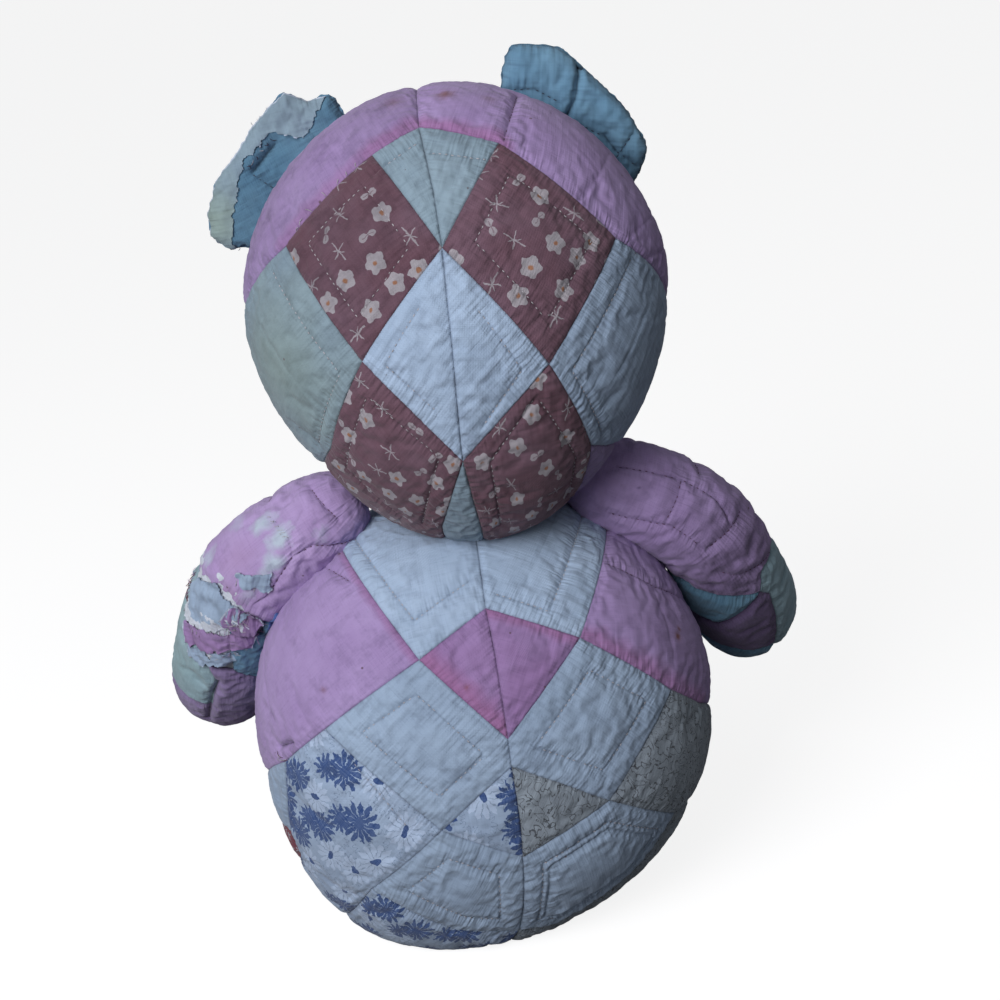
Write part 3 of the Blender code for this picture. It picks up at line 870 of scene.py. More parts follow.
def cloth(name, ground, pale, deep, printed=None, specks=0.0):
    # threads are under half a millimetre apart, so the weave is drawn coarser, at its pitch in mm, to show
    made, add = newMaterial(name)
    place = add("VectorMath", {0: add("UVMap", uv_map="quilt"), 1: (100, 100, 100)}, operation="MULTIPLY")
    solid = add("TexCoord").outputs["Object"]
    wear_and_shade = add("VertexColor", layer_name="wear_and_shade")
    grime_and_shade, rust, damp = add("SeparateColor", {0: wear_and_shade.outputs["Color"]}).outputs[:3]

    def along(x, y, detail, rough):
        # noise drawn out along the threads, x and y per mm
        drawn = add("VectorMath", {0: place, 1: (x, y, 1)}, operation="MULTIPLY")
        return add("TexNoise", {"Vector": drawn, "Scale": 1.0, "Detail": detail, "Roughness": rough})

    # fading in patches, threads of uneven dye, and the print
    cloudy = add("TexNoise", {"Vector": solid, "Scale": 22.0, "Detail": 3.0, "Roughness": 0.62})
    layers = [(add("MapRange", {0: cloudy, 1: 0.35, 2: 0.68, 3: 0.0, 4: 0.8}), pale, "MIX"),
              (add("Attribute", attribute_name="dye").outputs["Fac"], deep, "MIX")]
    if printed:
        layers += [(add("Math", {0: share, 1: strength}, operation="MULTIPLY"), ink, "MIX")
                   for share, strength, ink in printed(add, place)]
    streak = add("Math", {0: along(0.9, 0.03, 2.0, 0.7), 1: along(0.03, 0.9, 2.0, 0.7)}, operation="ADD")
    layers += [(add("MapRange", {0: streak, 1: 0.75, 2: 1.3, 3: 0.0, 4: 0.22}), pale, "MIX"),
               (add("MapRange", {0: streak, 1: 0.95, 2: 0.6, 3: 0.0, 4: 0.25}), stainsAndPaintedShade["shade"], "MULTIPLY")]

    # grime and painted shade along the seams, folds and lips and in broad marks, rust, damp marks, cloth rubbed bare
    # and small specks
    dusty = add("TexNoise", {"Vector": solid, "Scale": 60.0, "Detail": 3.0, "Roughness": 0.7})
    uneven = add("MapRange", {0: dusty, 1: 0.3, 2: 0.62, 3: 0.35, 4: 0.9})
    bare = add("Math", {0: dusty, 1: 0.6, 2: wear_and_shade.outputs["Alpha"]}, operation="MULTIPLY_ADD")
    layers += [(add("Math", {0: grime_and_shade, 1: uneven}, operation="MULTIPLY"), stainsAndPaintedShade["grime_and_shade"], "MULTIPLY"),
               (add("MapRange", {0: dusty, 1: 0.52, 2: 0.75, 3: 0.0, 4: 0.3}), stainsAndPaintedShade["soil"], "MULTIPLY"),
               (rust, stainsAndPaintedShade["rust"], "MIX"), (damp, stainsAndPaintedShade["damp"], "MIX"),
               (add("MapRange", {0: bare, 1: 0.62, 2: 0.95, 3: 0.0, 4: 1.0}), stainsAndPaintedShade["bare"], "MIX")]
    if specks:
        dots = add("TexVoronoi", {"Vector": solid, "Scale": 110.0, "Randomness": 1.0})
        picked = add("SeparateColor", {0: dots.outputs["Color"]})
        size = add("MapRange", {0: picked, 1: 1 - 0.16 * specks, 2: 1.0, 3: 0.0, 4: 0.17})
        inside = add("Math", {0: size, 1: dots.outputs["Distance"]}, operation="SUBTRACT")
        layers.append((add("MapRange", {0: inside, 1: 0.0, 2: 0.05, 3: 0.0, 4: 0.75}), stainsAndPaintedShade["speck"], "MIX"))
    tone = colour(ground)
    for share, code, how in layers:
        tone = add("Mix", {0: share, 6: tone, 7: colour(code)}, data_type="RGBA", blend_type=how)

    # the weave, slubs and creases, and fine puckers square to the sewing along both ways of the threads
    turned = add("VectorMath", {0: place, 1: (2 * math.pi / weave["pitch"],) * 3}, operation="MULTIPLY")
    wave = add("SeparateXYZ", {0: add("VectorMath", {0: turned}, operation="SINE")}).outputs
    woven = add("Math", {0: wave[0], 1: wave[1]}, operation="MULTIPLY")
    crease = add("TexNoise", {"Vector": solid, "Scale": 240.0, "Detail": 2.0, "Roughness": 0.6})
    pull = add("SeparateXYZ", {0: add("Attribute", attribute_name="pull").outputs["Vector"]}).outputs
    puckers = [add("Math", {0: pull[k], 1: along(*way, 1.0, 0.4)}, operation="MULTIPLY")
               for k, way in enumerate(((0.36, 0.035), (0.035, 0.36)))]
    height = add("Math", {0: crease, 1: weave["crease"]}, operation="MULTIPLY")
    for part, share in ((woven, "high"), (streak, "thread"), (along(0.26, 0.03, 2.0, 0.55), "slub"),
                        (puckers[0], "pucker"), (puckers[1], "pucker")):
        height = add("Math", {0: part, 1: weave[share], 2: height}, operation="MULTIPLY_ADD")
    bump = add("Bump", {"Height": height, "Strength": 0.5, "Distance": weave["deep"]})
    shader = add("BsdfPrincipled", {"Base Color": tone, "Roughness": 0.92, "Normal": bump, "Specular IOR Level": 0.2,
                                    "Sheen Weight": 0.12, "Sheen Roughness": 0.5})
    add("OutputMaterial", {"Surface": shader})
    return made


# Prints: motifs scattered over the cloth, in mm; each print gives the shape, strength and colour of its inks

def cells(add, place, size, shift=(0, 0), random=0.45, wobble=0.0):
    # where each place lies from its motif's own middle, and three random numbers for that motif
    at = add("VectorMath", {0: place, 1: (*shift, 0)}, operation="ADD")
    if wobble:
        shaky = add("TexNoise", {"Vector": at, "Scale": 0.22, "Detail": 2.0})
        at = add("VectorMath", {0: shaky.outputs["Color"], 1: (wobble,) * 3, 2: at}, operation="MULTIPLY_ADD")
    at = add("VectorMath", {0: at, 1: (1 / size,) * 3}, operation="MULTIPLY")
    found = add("TexVoronoi", {"Vector": at, "Scale": 1.0, "Randomness": random}, voronoi_dimensions="2D")
    away = add("VectorMath", {0: at, 1: found.outputs["Position"]}, operation="SUBTRACT")
    away = add("VectorMath", {0: away, 1: (size,) * 3}, operation="MULTIPLY")
    return away, add("SeparateColor", {0: found.outputs["Color"]}).outputs


def turnedBy(add, away, pick):
    angle = add("Math", {0: pick, 1: 2 * math.pi}, operation="MULTIPLY")
    return add("SeparateXYZ", {0: add("VectorRotate", {"Vector": away, "Angle": angle},
                                      rotation_type="Z_AXIS")}).outputs


def petals(add, away, pick, count, radius, wave, sharp=0.35):
    # a flower's outline: how far inside it each place is, how far from its middle, and where round its petals
    spun = turnedBy(add, away, pick)
    angle = add("Math", {0: spun[1], 1: spun[0]}, operation="ARCTAN2")
    lobes = add("Math", {0: add("Math", {0: angle, 1: float(count)}, operation="MULTIPLY")}, operation="COSINE")
    far = add("VectorMath", {0: away}, operation="LENGTH").outputs["Value"]
    edge = add("Math", {0: lobes, 1: wave, 2: radius}, operation="MULTIPLY_ADD")
    left = add("Math", {0: edge, 1: far}, operation="SUBTRACT")
    return add("MapRange", {0: left, 1: 0.0, 2: sharp, 3: 0.0, 4: 1.0}), far, lobes


def within(add, value, low, high, shape):
    # the shape where the value lies between low and high
    above = add("Math", {0: value, 1: low}, operation="GREATER_THAN")
    below = add("Math", {0: value, 1: high}, operation="LESS_THAN")
    return add("Math", {0: shape, 1: add("Math", {0: above, 1: below}, operation="MULTIPLY")}, operation="MULTIPLY")


def stroke(add, spun, slope, wide, length):
    # a short stroke through the motif's middle
    off = add("Math", {0: spun[1], 1: add("Math", {0: spun[0], 1: slope}, operation="MULTIPLY")}, operation="SUBTRACT")
    thin = add("MapRange", {0: add("Math", {0: off}, operation="ABSOLUTE"), 1: wide, 2: wide * 0.5, 3: 0.0, 4: 1.0})
    return within(add, spun[0], -length, length, thin)


def blossomPrint(add, place):
    # off-white five-lobed blossoms with an orange eye, crossed twigs and small leaves
    away, pick = cells(add, place, 23.0, random=0.55, wobble=3.0)
    flower, far, _ = petals(add, away, pick[1], 5, 6.9, 0.9)
    flower = within(add, pick[0], -1, 0.45, flower)
    eye = add("MapRange", {0: far, 1: 2.5, 2: 1.9, 3: 0.0, 4: 1.0})
    eye = add("Math", {0: eye, 1: flower}, operation="MULTIPLY")
    spun = turnedBy(add, away, pick[2])
    twigs = 0.0
    for slope, wide, length in ((0.6, 0.75, 7.0), (-0.8, 0.75, 4.5), (2.4, 1.2, 1.6)):
        twigs = add("Math", {0: stroke(add, spun, slope, wide, length), 1: twigs}, operation="MAXIMUM")
    twigs = within(add, pick[0], 0.45, 0.75, twigs)
    leaf = within(add, pick[0], 0.75, 2, petals(add, away, pick[2], 2, 3.9, 2.6)[0])
    leaf = add("Math", {0: stroke(add, spun, 0.0, 0.5, 4.5), 1: -0.6, 2: leaf}, operation="MULTIPLY_ADD")
    sprig = add("Math", {0: twigs, 1: leaf}, operation="MAXIMUM")
    return [(flower, 1.0, "#a09ca4"), (eye, 0.9, "#94633f"), (sprig, 0.85, "#a09ca4")]


def daisyPrint(add, place):
    # navy clusters of jagged petals and white daisies with dark oval eyes, on pale blue with thin grey petal lines
    navy, white, grey = "#27437a", "#a9bad5", "#566783"
    away, pick = cells(add, place, 19.0, (7, 3), 0.9, 4.0)
    outer, inner = (petals(add, away, pick[1], 11, radius, 1.6, 0.3)[0] for radius in (7.6, 7.0))
    thin = add("Math", {0: outer, 1: inner}, operation="SUBTRACT")
    away, pick = cells(add, place, 33.0, random=0.85, wobble=5.0)
    daisy, far, lobes = petals(add, away, pick[1], 13, 13.0, 2.4, 0.5)
    daisy = within(add, pick[0], -1, 0.42, daisy)
    rays = within(add, far, 4.5, 1e3, within(add, lobes, -2, -0.86, daisy))
    spun = turnedBy(add, away, pick[2])
    long, short = (add("Math", {0: spun[k], 1: spun[k]}, operation="MULTIPLY") for k in (0, 1))
    short = add("Math", {0: short, 1: 0.2}, operation="MULTIPLY")
    oval = add("Math", {0: long, 1: 0.06, 2: short}, operation="MULTIPLY_ADD")
    eye = within(add, oval, -1, 1.0, daisy)
    dark = 0.0
    for shift, count, radius in (((0, 0), 13, 13.6), ((13, 9), 11, 9.6)):
        away, pick = cells(add, place, 33.0, shift, 0.85, 6.0)
        bloom, far, lobes = petals(add, away, pick[1], count, radius, 2.5, 0.5)
        gaps = within(add, far, 5.0, 1e3, within(add, lobes, -2, -0.9, bloom))
        bloom = within(add, pick[0], 0.46, 2, add("Math", {0: bloom, 1: gaps}, operation="SUBTRACT"))
        dark = add("Math", {0: bloom, 1: dark}, operation="MAXIMUM")
    return [(thin, 0.75, grey), (daisy, 1.0, white), (rays, 0.55, grey), (eye, 1.0, navy), (dark, 1.0, navy)]


def linePrint(add, place):
    # thin brown-black outlines of leaves and rings on cream
    shaky = add("TexNoise", {"Vector": place, "Scale": 0.07, "Detail": 2.0, "Distortion": 1.2})
    contour = add("Math", {0: add("Math", {0: shaky, 1: 7.0}, operation="MULTIPLY"), 1: 0.5}, operation="PINGPONG")
    lines = add("MapRange", {0: contour, 1: 0.095, 2: 0.045, 3: 0.0, 4: 1.0})
    away, pick = cells(add, place, 21.0, random=0.9, wobble=7.0)
    ring, hole = (within(add, pick[0], -1, 0.6, petals(add, away, pick[1], 5, radius, 1.6, 0.25)[0])
                  for radius in (8.2, 7.3))
    outside = add("Math", {0: 1.0, 1: ring}, operation="SUBTRACT")
    lines = add("Math", {0: lines, 1: outside}, operation="MULTIPLY")
    rings = add("Math", {0: ring, 1: hole}, operation="SUBTRACT")
    both = add("Math", {0: lines, 1: rings}, operation="MAXIMUM")
    return [(both, 0.85, "#26262b")]


def berryPrint(add, place):
    # pale sprigs on deep red
    away, pick = cells(add, place, 13.0, random=0.8, wobble=4.0)
    return [(petals(add, away, pick[1], 3, 3.0, 1.7)[0], 0.8, "#a9adb9")]


def batting():
    # cotton wadding: matt, fluffy fibres teased out of a felted sheet, a little yellowed
    made, add = newMaterial("cotton_wadding")
    solid = add("TexCoord").outputs["Object"]
    lumps = add("TexNoise", {"Vector": solid, "Scale": 120.0, "Detail": 6.0, "Roughness": 0.72, "Distortion": 1.5})
    fibre = add("TexNoise", {"Vector": solid, "Scale": 480.0, "Detail": 5.0, "Roughness": 0.8, "Distortion": 4.0})
    tone = add("Mix", {0: lumps, 6: colour("#b2bbce"), 7: colour("#e0e6f2")}, data_type="RGBA")
    height = add("Math", {0: lumps, 1: fibre}, operation="ADD")
    bump = add("Bump", {"Height": height, "Strength": 0.6, "Distance": 0.0014})
    shader = add("BsdfPrincipled", {"Base Color": tone, "Roughness": 1.0, "Normal": bump, "Specular IOR Level": 0.1,
                                    "Sheen Weight": 0.25, "Sheen Roughness": 0.6})
    add("OutputMaterial", {"Surface": shader})
    return made


def thread(name, code):
    # twisted cotton sewing thread: matt, with the ply showing as fine slanting ridges
    made, add = newMaterial(name)
    solid = add("TexCoord").outputs["Object"]
    ply = add("TexWave", {"Vector": solid, "Scale": 260.0, "Distortion": 2.0, "Detail": 1.0},
              bands_direction="DIAGONAL")
    uneven = add("TexNoise", {"Vector": solid, "Scale": 150.0})
    dark = tuple(c * 0.6 for c in colour(code)[:3]) + (1.0,)
    tone = add("Mix", {0: uneven, 6: dark, 7: colour(code)}, data_type="RGBA")
    bump = add("Bump", {"Height": ply.outputs["Fac"], "Strength": 0.5, "Distance": 0.0003})
    shader = add("BsdfPrincipled", {"Base Color": tone, "Roughness": 0.8, "Normal": bump, "Specular IOR Level": 0.25})
    add("OutputMaterial", {"Surface": shader})
    return made


def mouldedButton():
    # moulded polyester button: glossy and near black, its dome dulled by fine scratches
    made, add = newMaterial("moulded_polyester_button")
    solid = add("TexCoord").outputs["Object"]
    stretched = add("Mapping", {"Vector": solid, "Scale": (2600.0, 500.0, 900.0), "Rotation": (0.4, 0.7, 0.2)})
    scratch = add("TexNoise", {"Vector": stretched, "Scale": 1.0, "Detail": 4.0})
    line = add("MapRange", {0: scratch, 1: 0.56, 2: 0.64, 3: 0.0, 4: 1.0})
    haze = add("TexNoise", {"Vector": solid, "Scale": 160.0, "Detail": 3.0})
    tone = add("Mix", {0: haze, 6: colour("#111014"), 7: colour("#242229")}, data_type="RGBA")
    rough = add("MapRange", {0: line, 3: 0.18, 4: 0.42})
    bump = add("Bump", {"Height": line, "Strength": 0.15, "Distance": 0.00005})
    shader = add("BsdfPrincipled", {"Base Color": tone, "Roughness": rough, "Normal": bump, "IOR": 1.54})
    add("OutputMaterial", {"Surface": shader})
    return made


cloths = {
    # a lighter copy of the washed white cotton: painted light on the top of the body and the middle of the head's back
    "clean": cloth("bleached_white_cotton", "#95a8c2", "#a5b8d2", "#8497af", specks=0.4),
    "white": cloth("washed_white_cotton", "#8a9cb5", "#9aadc6", "#7b8da3", specks=0.5),
    "grey": cloth("greyed_white_cotton", "#788b9b", "#899dac", "#687b8b", specks=0.8),
    "pink": cloth("faded_pink_cotton", "#957fae", "#a691c0", "#936695", specks=0.5),
    "blush": cloth("light_pink_cotton", "#a28aba", "#b19cca", "#966a98", specks=0.5),
    "rose": cloth("deeper_rose_cotton", "#8a6c9b", "#987fae", "#935f8a", specks=1.0),
    "maroon": cloth("maroon_blossom_cotton", "#604450", "#6d5564", "#5a3f47", blossomPrint),
    "daisy": cloth("blue_daisy_cotton", "#8fa1bc", "#9dafc9", "#8092ab", daisyPrint),
    "lines": cloth("cream_outline_cotton", "#7f8995", "#8d97a3", "#707a86", linePrint),
    "teal": cloth("teal_blue_cotton", "#4b6f89", "#5f8299", "#3f5f78"),
    "steel": cloth("steel_blue_cotton", "#5c829f", "#6f94ae", "#4d718c"),
    "pale": cloth("pale_blue_cotton", "#86a1ae", "#98b1be", "#78919e"),
    "mauve": cloth("dusty_mauve_cotton", "#7f6e98", "#8f80a8", "#6e5d86"),
    # a darker copy of the mauve, which paints shade on the right arm toward its paw
    "plum": cloth("plum_cotton_painted_darker", "#57476a", "#66577a", "#4a3b5a"),
    "blue": cloth("bright_blue_cotton", "#4f6fae", "#6583bd", "#42619a"),
    "red": cloth("deep_red_print_cotton", "#6b2a3b", "#7b3f50", "#56202f", berryPrint),
}
wadding = batting()
threads = {"light": thread("unbleached_thread", "#b9b6bd"), "dark": thread("grey_thread", "#3d3a4c"),
           "plum": thread("plum_thread", "#5f3f58"), "rust": thread("rust_red_thread", "#743340"),
           "pink": thread("pink_thread", "#a88bb2")}
buttonPlastic = mouldedButton()


# Head, seen from behind: patches in mm from the middle of its back

say("head")

headBack = {
    "places": {"c1": (-11, 124), "c1b": (-6, 68), "c2": (-5, 31), "c2b": (-7, -30), "c3": (-12, -105), "c4": (-6, -181),
        "oC": (-12, 290), "oD": (-6, -290), "l1": (-47, 107), "l2": (-124, 59), "l3": (-70, -30), "l4": (-132, -94),
        "l5": (-50, -179), "l6": (-198, 37), "oL1": (-290, 5), "oL2": (-290, 290), "oL3": (-290, -190),
        "oL5": (-76, -290), "oL6": (-290, -290), "r1": (44, 102), "r2": (123, 32), "r3": (58, -47), "r4": (107, -117),
        "r6": (183, 8), "r7": (125, -188), "r10": (140, -130), "oR1": (290, -45), "oR2": (290, 290), "oR3": (290, -190),
        "oR7": (150, -290), "oR6": (290, -290)},
    "left": [
        # the broad marks in channel 0 on these patches darken the top and upper left of the head's back
        {"cloth": "pink", "corners": "c1 l1 l2 l6 oL1 oL2 oC", "marks": [(-30, 160, 9, 1, 0.3), (-150, 90, 95, 0, 0.42),
            (-40, 150, 60, 0, 0.42)], "creases": [(24, 5.0, 0.25)], "bands": [("c1", "l1", 16, 0.8),
            ("l1", "l2", 12, 0.5)], "lines": chained(("gathered", (-14, 142), (-60, 125)),
            ("gathered", (-13, 165), (-75, 146)), ("crease", (-70, 96), (-100, 170)),
            ("crease", (-105, 72), (-160, 140)), ("crease", (-150, 56), (-210, 100)))},
        {"cloth": "grey", "corners": "c1 l1 c2 c1b", "lines": chained(("quilting", (-13, 108), (-46, 90)),
            ("gathered", (-9, 76), (-30, 84)), ("gathered", (-8, 50), (-16, 56)))},
        {"cloth": "maroon", "corners": "l1 c2 l3 l2", "inset": [17], "marks": [(-80, 50, 75, 0, 0.36)]},
        # the middle patches on both sides take the lighter white, which paints light on them
        {"cloth": "clean", "corners": "c2 l3 c3 c2b", "creases": [(38, 4.0, 0.45)],
         "lines": chained(("quilting", (-24, -2), (-54, -34), (-24, -68)))},
        {"cloth": "grey", "corners": "l2 l3 l4 oL3 oL1 l6", "marks": [(-150, -30, 70, 2, 0.3), (-130, 0, 80, 0, 0.24)],
         "creases": [(48, 7.0, 0.55)], "lines": chained(("quilting", (-140, 44), (-90, -36), (-148, -92)),
            ("crease", (-176, 34), (-118, -58)))},
        {"cloth": "maroon", "corners": "l3 c3 l5 oL5 oL6 oL3 l4",
         "lines": chained(("quilting", (-72, -54), (-30, -100)), ("quilting", (-74, -54), (-126, -112)),
            ("quilting", (-31, -102), (-72, -176)), ("quilting", (-126, -112), (-96, -170)))},
        {"cloth": "grey", "corners": "c3 c4 oD oL5 l5"},
    ],
    "right": [
        {"cloth": "pink", "corners": "c1 r1 r2 r6 oR1 oR2 oC", "marks": [(12, 158, 8, 1, 0.8), (45, 150, 6, 1, 0.3)],
         "creases": [(-60, 6.0, 0.3)], "bands": [("c1", "r1", 14, 0.9)],
         "lines": chained(("quilting", (48, 104), (78, 175)), ("crease", (100, 60), (150, 115)),
            ("crease", (136, 34), (200, 70)), ("crease", (160, 20), (215, 40)))},
        {"cloth": "grey", "corners": "c1 r1 c2 c1b", "lines": chained(("quilting", (-5, 98), (38, 86)),
            ("gathered", (-5, 66), (26, 74)))},
        {"cloth": "maroon", "corners": "r1 r2 r3 c2", "inset": [17]},
        {"cloth": "clean", "corners": "c2 r3 c3 c2b", "creases": [(-38, 5.0, 0.35)],
         "lines": chained(("quilting", (12, -8), (38, -48), (6, -82)))},
        # this side takes the whiter cloth where the left has grey, which paints light on the head's shaded right side
        {"cloth": "white", "corners": "r2 r3 r4 r10 oR3 oR1 r6", "creases": [(62, 6.0, 0.4)],
         "lines": chained(("quilting", (136, 18), (76, -54), (118, -110)), ("crease", (166, 4), (110, -70)))},
        {"cloth": "maroon", "corners": "c3 c4 oD oR7 r7 r4 r3", "lines": chained(("quilting", (46, -68), (10, -108)),
            ("quilting", (50, -70), (90, -122)), ("quilting", (10, -110), (16, -180)),
            ("quilting", (90, -122), (100, -180)))},
        {"cloth": "mauve", "corners": "r4 r7 oR7 oR6 oR3 r10"},
    ],
}
quilt = {"cell": 1.5, "rows": (0.8, 2.2), "tornRows": (0.9,), "plainCell": 2.8}
headSew = {"step": 2.8, "depth": 0.7, "puff": 0.5, "shoulder": 5.0, "slack": 0.018, "pressure": 7, "frames": 12,
           "quality": 5, "most": 4.0, "held": 0.6, "mass": 0.05, "stiff": 15, "bend": 0.1, "damping": 2.0}
neckKeep = ((0, 0, 1), -0.94)
headMade = makePanels("head_back", BallChart(headPoints, 1, 16, 147), headBack, headSew, headForm["rim"], [neckKeep],
                      quilt["cell"], ((-262, -262), (262, 262)))


# Body, seen from behind

say("body")

bodyBack = {
    "places": {"c1": (11, 82), "c1b": (13, 50), "c2": (14, -8), "c3": (14, -27), "c4": (17, -93), "c5": (25, -176),
        "oT": (15, 330), "oB": (30, -400), "oTL": (-150, 330), "oTR": (175, 330), "l1": (-138, 219), "l2": (-37, 52),
        "l3": (-113, 12), "l4": (-165, -14), "l5": (-38, -66), "l6": (-99, -116), "l7": (-184, -62), "l8": (-192, -84),
        "l8b": (-186, -104), "l9": (-29, -162), "l0": (-150, -185), "oL1": (-400, 330), "oL2": (-400, -80),
        "oL3": (-400, -96), "oL4": (-400, -400), "r1": (160, 204), "r2": (72, 53), "r3": (145, 5), "r4": (81, -64),
        "r5": (189, -15), "r6": (158, -102), "r7": (60, -187), "r8": (128, -150), "oR1": (400, 330), "oR2": (400, -60),
        "oR3": (400, -150), "oR4": (400, -400)},
    "left": [
        # the top patches on both sides take the lighter white, painted light where the head shades the top of the body
        {"cloth": "clean", "corners": "l1 oTL oT c1 l2", "creases": [(30, 8.0, 0.22)],
         "lines": chained(("quilting", (-112, 205), (-38, 80), (2, 104)), ("gathered", (-112, 160), (-60, 84)))},
        {"cloth": "pink", "corners": "l1 l2 l3 l4 oL2 oL1 oTL", "creases": [(66, 9.0, 0.45)],
         "bands": [("l1", "l2", 7, 0.65)], "marks": [(-108, 40, 2.6, 1, 0.5)],
         "lines": chained(("quilting", (-150, 175), (-88, 122)), ("crease", (-168, 20), (-215, 150)),
            ("gathered", (-190, -10), (-235, 90)), ("fold", (-172, -2), (-150, 2)))},
        {"cloth": "rose", "corners": "c1 l2 c2 c1b", "bands": [("l2", "c2", 16, 0.7)], "creases": [(52, 5.0, 0.3)],
         "marks": [(-8, 30, 2.0, 1, 0.6)], "lines": chained(("crease", (-16, 20), (2, 2)))},
        {"cloth": "white", "corners": "l2 c2 c3 l5 l3", "inset": [18]},
        {"cloth": "daisy", "corners": "l3 l5 l6 l0 oL4 l8b l8 l7 l4",
         "lines": chained(("quilting", (-96, -10), (-62, -62)), ("crease", (-150, -30), (-120, -110)))},
        {"cloth": "daisy", "corners": "c3 c4 l5"},
        {"cloth": "white", "corners": "l5 c4 c5 l9 l6", "inset": [18]},
        {"cloth": "daisy", "corners": "l6 l9 c5 oB oL4 l0"},
        {"cloth": "white", "corners": "l4 l7 l8 oL3 oL2"},
        {"cloth": "red", "corners": "l8 l8b oL4 oL3"},
    ],
    "right": [
        {"cloth": "clean", "corners": "r1 r2 c1 oT oTR", "lines": chained(("quilting", (132, 206), (54, 74), (18, 92)),
            ("crease", (100, 195), (40, 95)))},
        {"cloth": "pink", "corners": "r1 oTR oR1 oR2 r5 r3 r2", "bands": [("r2", "r3", 17, 0.8), ("r3", "r5", 17, 0.7)],
         "marks": [(160, 46, 4.0, 1, 1.0), (164, 52, 2.5, 1, 0.9)], "creases": [(8, 6.0, 0.35)],
         "lines": chained(("quilting", (110, 111), (156, 92), (223, 84)), ("gathered", (120, 140), (190, 130)),
            ("crease", (150, 90), (150, 30)))},
        {"cloth": "rose", "corners": "c1 r2 c2 c1b", "bands": [("c1", "r2", 9, 0.6)], "creases": [(24, 6.0, 0.3)],
         "lines": chained(("crease", (16, 8), (34, 26)), ("crease", (16, 2), (40, 4)))},
        {"cloth": "white", "corners": "c2 r2 r3 r4 c3", "inset": [18]},
        {"cloth": "lines", "corners": "r3 r5 oR2 oR3 r6 r4"},
        {"cloth": "lines", "corners": "c3 r4 c4", "creases": [(-20, 5.0, 0.25)]},
        {"cloth": "white", "corners": "c4 r4 r6 r8 r7 c5", "inset": [14, 19]},
        {"cloth": "lines", "corners": "r6 oR3 oR4 oB c5 r7 r8"},
    ],
}
bodySew = dict(headSew, step=3.0)
seatKeep = ((0, 0, -1), -0.988)
bodyMade = makePanels("body_back", BallChart(bodyPoints, 1, 16, 160), bodyBack, bodySew, bodyForm["rim"], [seatKeep],
                      quilt["cell"], ((-320, -330), (320, 320)), 40)


# The fronts mirror the backs' patches in other cloths, with only their quilting

def mirrored(plan, swaps, up=0.0):
    made = {"places": {name: (-x, y + up) for name, (x, y) in plan["places"].items()}}
    for side in ("left", "right"):
        made[side] = []
        for patch in plan[side]:
            copy = {key: patch[key] for key in ("corners", "inset") if key in patch}
            copy["cloth"] = swaps.get(patch["cloth"], patch["cloth"])
            copy["lines"] = [((-a[0], a[1] + up), (-b[0], b[1] + up), kind) for a, b, kind in patch.get("lines", [])
                             if kind == "quilting"]
            made[side].append(copy)
    return made


def opposite(keep):
    return (tuple(-k for k in keep[0]), -keep[1])


frontSew = dict(headSew, step=4.2, frames=10)
headFront = mirrored(headBack, {"grey": "white", "maroon": "rose", "clean": "maroon"}, -6)
bodyFront = mirrored(bodyBack, {"clean": "white", "white": "rose", "pink": "white", "rose": "maroon", "lines": "pink"})
makePanels("head_front", BallChart(headPoints, -1, 0, 147), headFront, frontSew, opposite(headForm["rim"]), [neckKeep],
           quilt["plainCell"], ((-250, -250), (250, 250)), 80)
makePanels("body_front", BallChart(bodyPoints, -1, 0, 160), bodyFront, frontSew, opposite(bodyForm["rim"]), [seatKeep],
           quilt["plainCell"], ((-320, -330), (320, 320)), 120)


# Arms: x runs from the shoulder to the paw, y round the arm from the middle of its back

say("arms")

armSew = dict(headSew, step=3.4, depth=1.0, puff=0.8, slack=0.022, pressure=9, frames=10)
armRight = {
    "places": {"a1": (-12, -126), "a2": (-12, 126), "a3": (172, 126), "a4": (170, 60), "a5": (160, 26), "a6": (175, 17),
        "a7": (148, -29), "a8": (120, -62), "a9": (122, -126), "b1": (193, -25), "b2": (185, -62), "b3": (190, -126),
        "b4": (186, 24), "b5": (256, 12), "b6": (233, -34), "b7": (228, -126), "b8": (330, -126), "b9": (330, 126),
        "c1": (330, 14)},
    "patches": [
        # the large mark in channel 0 paints shade on the lower part of the pink patch, where the arm lies in shadow
        {"cloth": "pink", "corners": "a1 a9 a8 a7 a6 a5 a4 a3 a2", "creases": [(80, 6.0, 0.5), (10, 5.0, 0.3)],
         "marks": [(52, 14, 1.2, 0, 0.8), (150, -10, 50, 0, 0.8)]},
        {"cloth": "teal", "corners": "a7 a6 b1 b2 a8", "creases": [(10, 5.0, 0.3)]},
        # this patch takes the darker plum cloth, painted shade where the arm lies in shadow
        {"cloth": "plum", "corners": "b1 a6 b4 b5 b6 b7 b3 b2", "creases": [(60, 6.0, 0.3)]},
        {"cloth": "pale", "corners": "a6 a5 a4 a3 b9 c1 b5 b4", "creases": [(70, 6.0, 0.3)]},
        {"cloth": "steel", "corners": "b6 b5 c1 b8 b7"},
        {"cloth": "rose", "corners": "a9 b3 b2 a8"},
    ],
    "lines": chained(("quilting", (35, 27), (78, 35), (100, 34), (115, 25)), ("quilting", (78, 35), (78, -2)),
        ("quilting", (120, 44), (113, 9), (111, -3)), ("quilting", (165, 48), (145, 5), (133, -6)),
        ("quilting", (43, -19), (83, -4), (109, -5)), ("gathered", (60, -30), (140, -40)),
        ("quilting", (30, 80), (150, 84)), ("quilting", (90, 50), (92, 120)), ("quilting", (140, 50), (142, 120)),
        ("quilting", (60, -50), (60, -120))),
}
